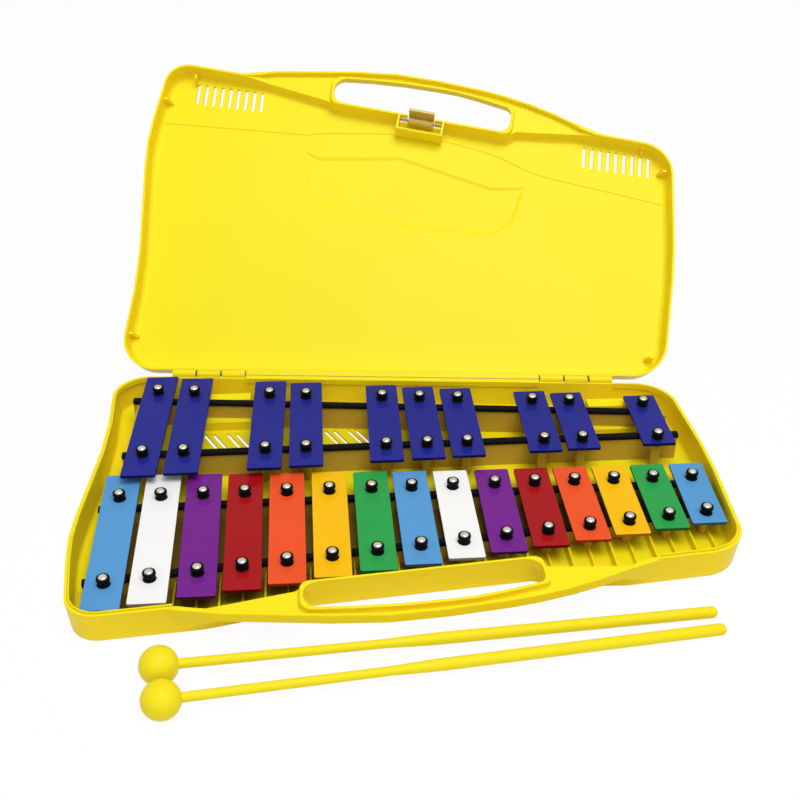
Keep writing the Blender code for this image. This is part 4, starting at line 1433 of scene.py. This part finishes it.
class METALLOPHONE_OT_stage(bpy.types.Operator):
    """Set up the pale floor, the soft light and the camera"""

    bl_idname = "metallophone.stage"
    bl_label = "Stage"

    def execute(self, context):
        look = context.scene.metallophone_stage
        self.floor(look)
        self.surround(context, look)
        self.lamp("soft_top", (0.25, -0.6, 2.0), 1.3, look.lamp_power)
        self.lamp("soft_front", (-0.5, -1.7, 1.0), 1.2, look.fill_power)
        self.camera(context)
        context.scene.view_settings.view_transform = "Standard"
        return {"FINISHED"}

    def floor(self, look):
        shape = bmesh.new()
        bmesh.ops.create_grid(shape, x_segments=1, y_segments=1, size=6 / MM)
        floor = new_object("floor", shape)
        paint = bpy.data.materials.new("floor_paint")
        paint.use_nodes = True
        nodes, links = paint.node_tree.nodes, paint.node_tree.links
        shader = nodes["Principled BSDF"]
        shader.inputs["Base Color"].default_value = (*look.floor, 1)
        shader.inputs["Roughness"].default_value = 0.9
        shader.inputs["Specular IOR Level"].default_value = 0.0
        glow = nodes.new("ShaderNodeEmission")
        part = nodes.new("ShaderNodeMath")
        part.operation = "MULTIPLY"
        part.inputs[1].default_value = look.glow
        links.new(seen_or_mirrored(nodes, links), part.inputs[0])
        mix = nodes.new("ShaderNodeMixShader")
        links.new(part.outputs[0], mix.inputs[0])
        links.new(shader.outputs[0], mix.inputs[1])
        links.new(glow.outputs[0], mix.inputs[2])
        links.new(mix.outputs[0], nodes["Material Output"].inputs["Surface"])
        floor.data.materials.append(paint)

    def surround(self, context, look):
        world = bpy.data.worlds.new("white_surround")
        context.scene.world = world
        world.use_nodes = True
        nodes, links = world.node_tree.nodes, world.node_tree.links
        back = nodes["Background"]
        back.inputs["Color"].default_value = (1, 1, 1, 1)
        level = nodes.new("ShaderNodeMapRange")
        level.inputs["To Min"].default_value = look.ambient
        level.inputs["To Max"].default_value = 1.0
        links.new(seen_or_mirrored(nodes, links), level.inputs["Value"])
        links.new(level.outputs["Result"], back.inputs["Strength"])

    def lamp(self, name, spot, width, power):
        light = bpy.data.lights.new(name, "AREA")
        light.size = width
        light.energy = power
        made = bpy.data.objects.new(name, light)
        bpy.context.scene.collection.objects.link(made)
        made.location = spot
        made.rotation_euler = (-Vector(spot)).to_track_quat("-Z", "Y").to_euler()

    def camera(self, context):
        lens = bpy.data.cameras.new("camera")
        lens.lens = 50.935
        lens.sensor_width = 36.0
        made = bpy.data.objects.new("camera", lens)
        context.scene.collection.objects.link(made)
        spin, tilt, roll = (math.radians(angle) for angle in CAMERA_TURN)
        turn = Matrix.Rotation(spin, 4, "Z") @ Matrix.Rotation(tilt, 4, "X") @ Matrix.Rotation(roll, 4, "Z")
        made.matrix_world = Matrix.Translation(EYE * MM) @ turn
        context.scene.camera = made


class METALLOPHONE_PT_pieces(bpy.types.Panel):
    """Lists the pieces and their settings"""

    bl_idname = "METALLOPHONE_PT_pieces"
    bl_label = "Metallophone"
    bl_space_type = "VIEW_3D"
    bl_region_type = "UI"
    bl_category = "Metallophone"

    def draw(self, context):
        for piece, names in PIECES:
            self.layout.operator(piece.bl_idname)
            for name in names:
                group = getattr(context.scene, name)
                for key in group.bl_rna.properties.keys():
                    if key not in ("rna_type", "name"):
                        self.layout.prop(group, key)


SETTINGS = {
    "metallophone_case": CaseSettings,
    "metallophone_bars": BarSettings,
    "metallophone_supports": SupportSettings,
    "metallophone_latch": LatchSettings,
    "metallophone_mallets": MalletSettings,
    "metallophone_stage": StageSettings,
}
PIECES = (
    (METALLOPHONE_OT_tray, ("metallophone_case",)),
    (METALLOPHONE_OT_lid, ()),
    (METALLOPHONE_OT_latch, ("metallophone_latch",)),
    (METALLOPHONE_OT_supports, ("metallophone_supports",)),
    (METALLOPHONE_OT_bars, ("metallophone_bars",)),
    (METALLOPHONE_OT_mallets, ("metallophone_mallets",)),
    (METALLOPHONE_OT_stage, ("metallophone_stage",)),
)


def register():
    for name, kind in SETTINGS.items():
        bpy.utils.register_class(kind)
        setattr(bpy.types.Scene, name, PointerProperty(type=kind))
    for piece, _ in PIECES:
        bpy.utils.register_class(piece)
    bpy.utils.register_class(METALLOPHONE_PT_pieces)


def unregister():
    bpy.utils.unregister_class(METALLOPHONE_PT_pieces)
    for piece, _ in reversed(PIECES):
        bpy.utils.unregister_class(piece)
    for name, kind in SETTINGS.items():
        delattr(bpy.types.Scene, name)
        bpy.utils.unregister_class(kind)


def main():
    register()
    bpy.ops.metallophone.tray()
    bpy.ops.metallophone.lid()
    bpy.ops.metallophone.latch()
    bpy.ops.metallophone.supports()
    bpy.ops.metallophone.bars()
    bpy.ops.metallophone.mallets()
    bpy.ops.metallophone.stage()


if __name__ == "__main__":
    main()
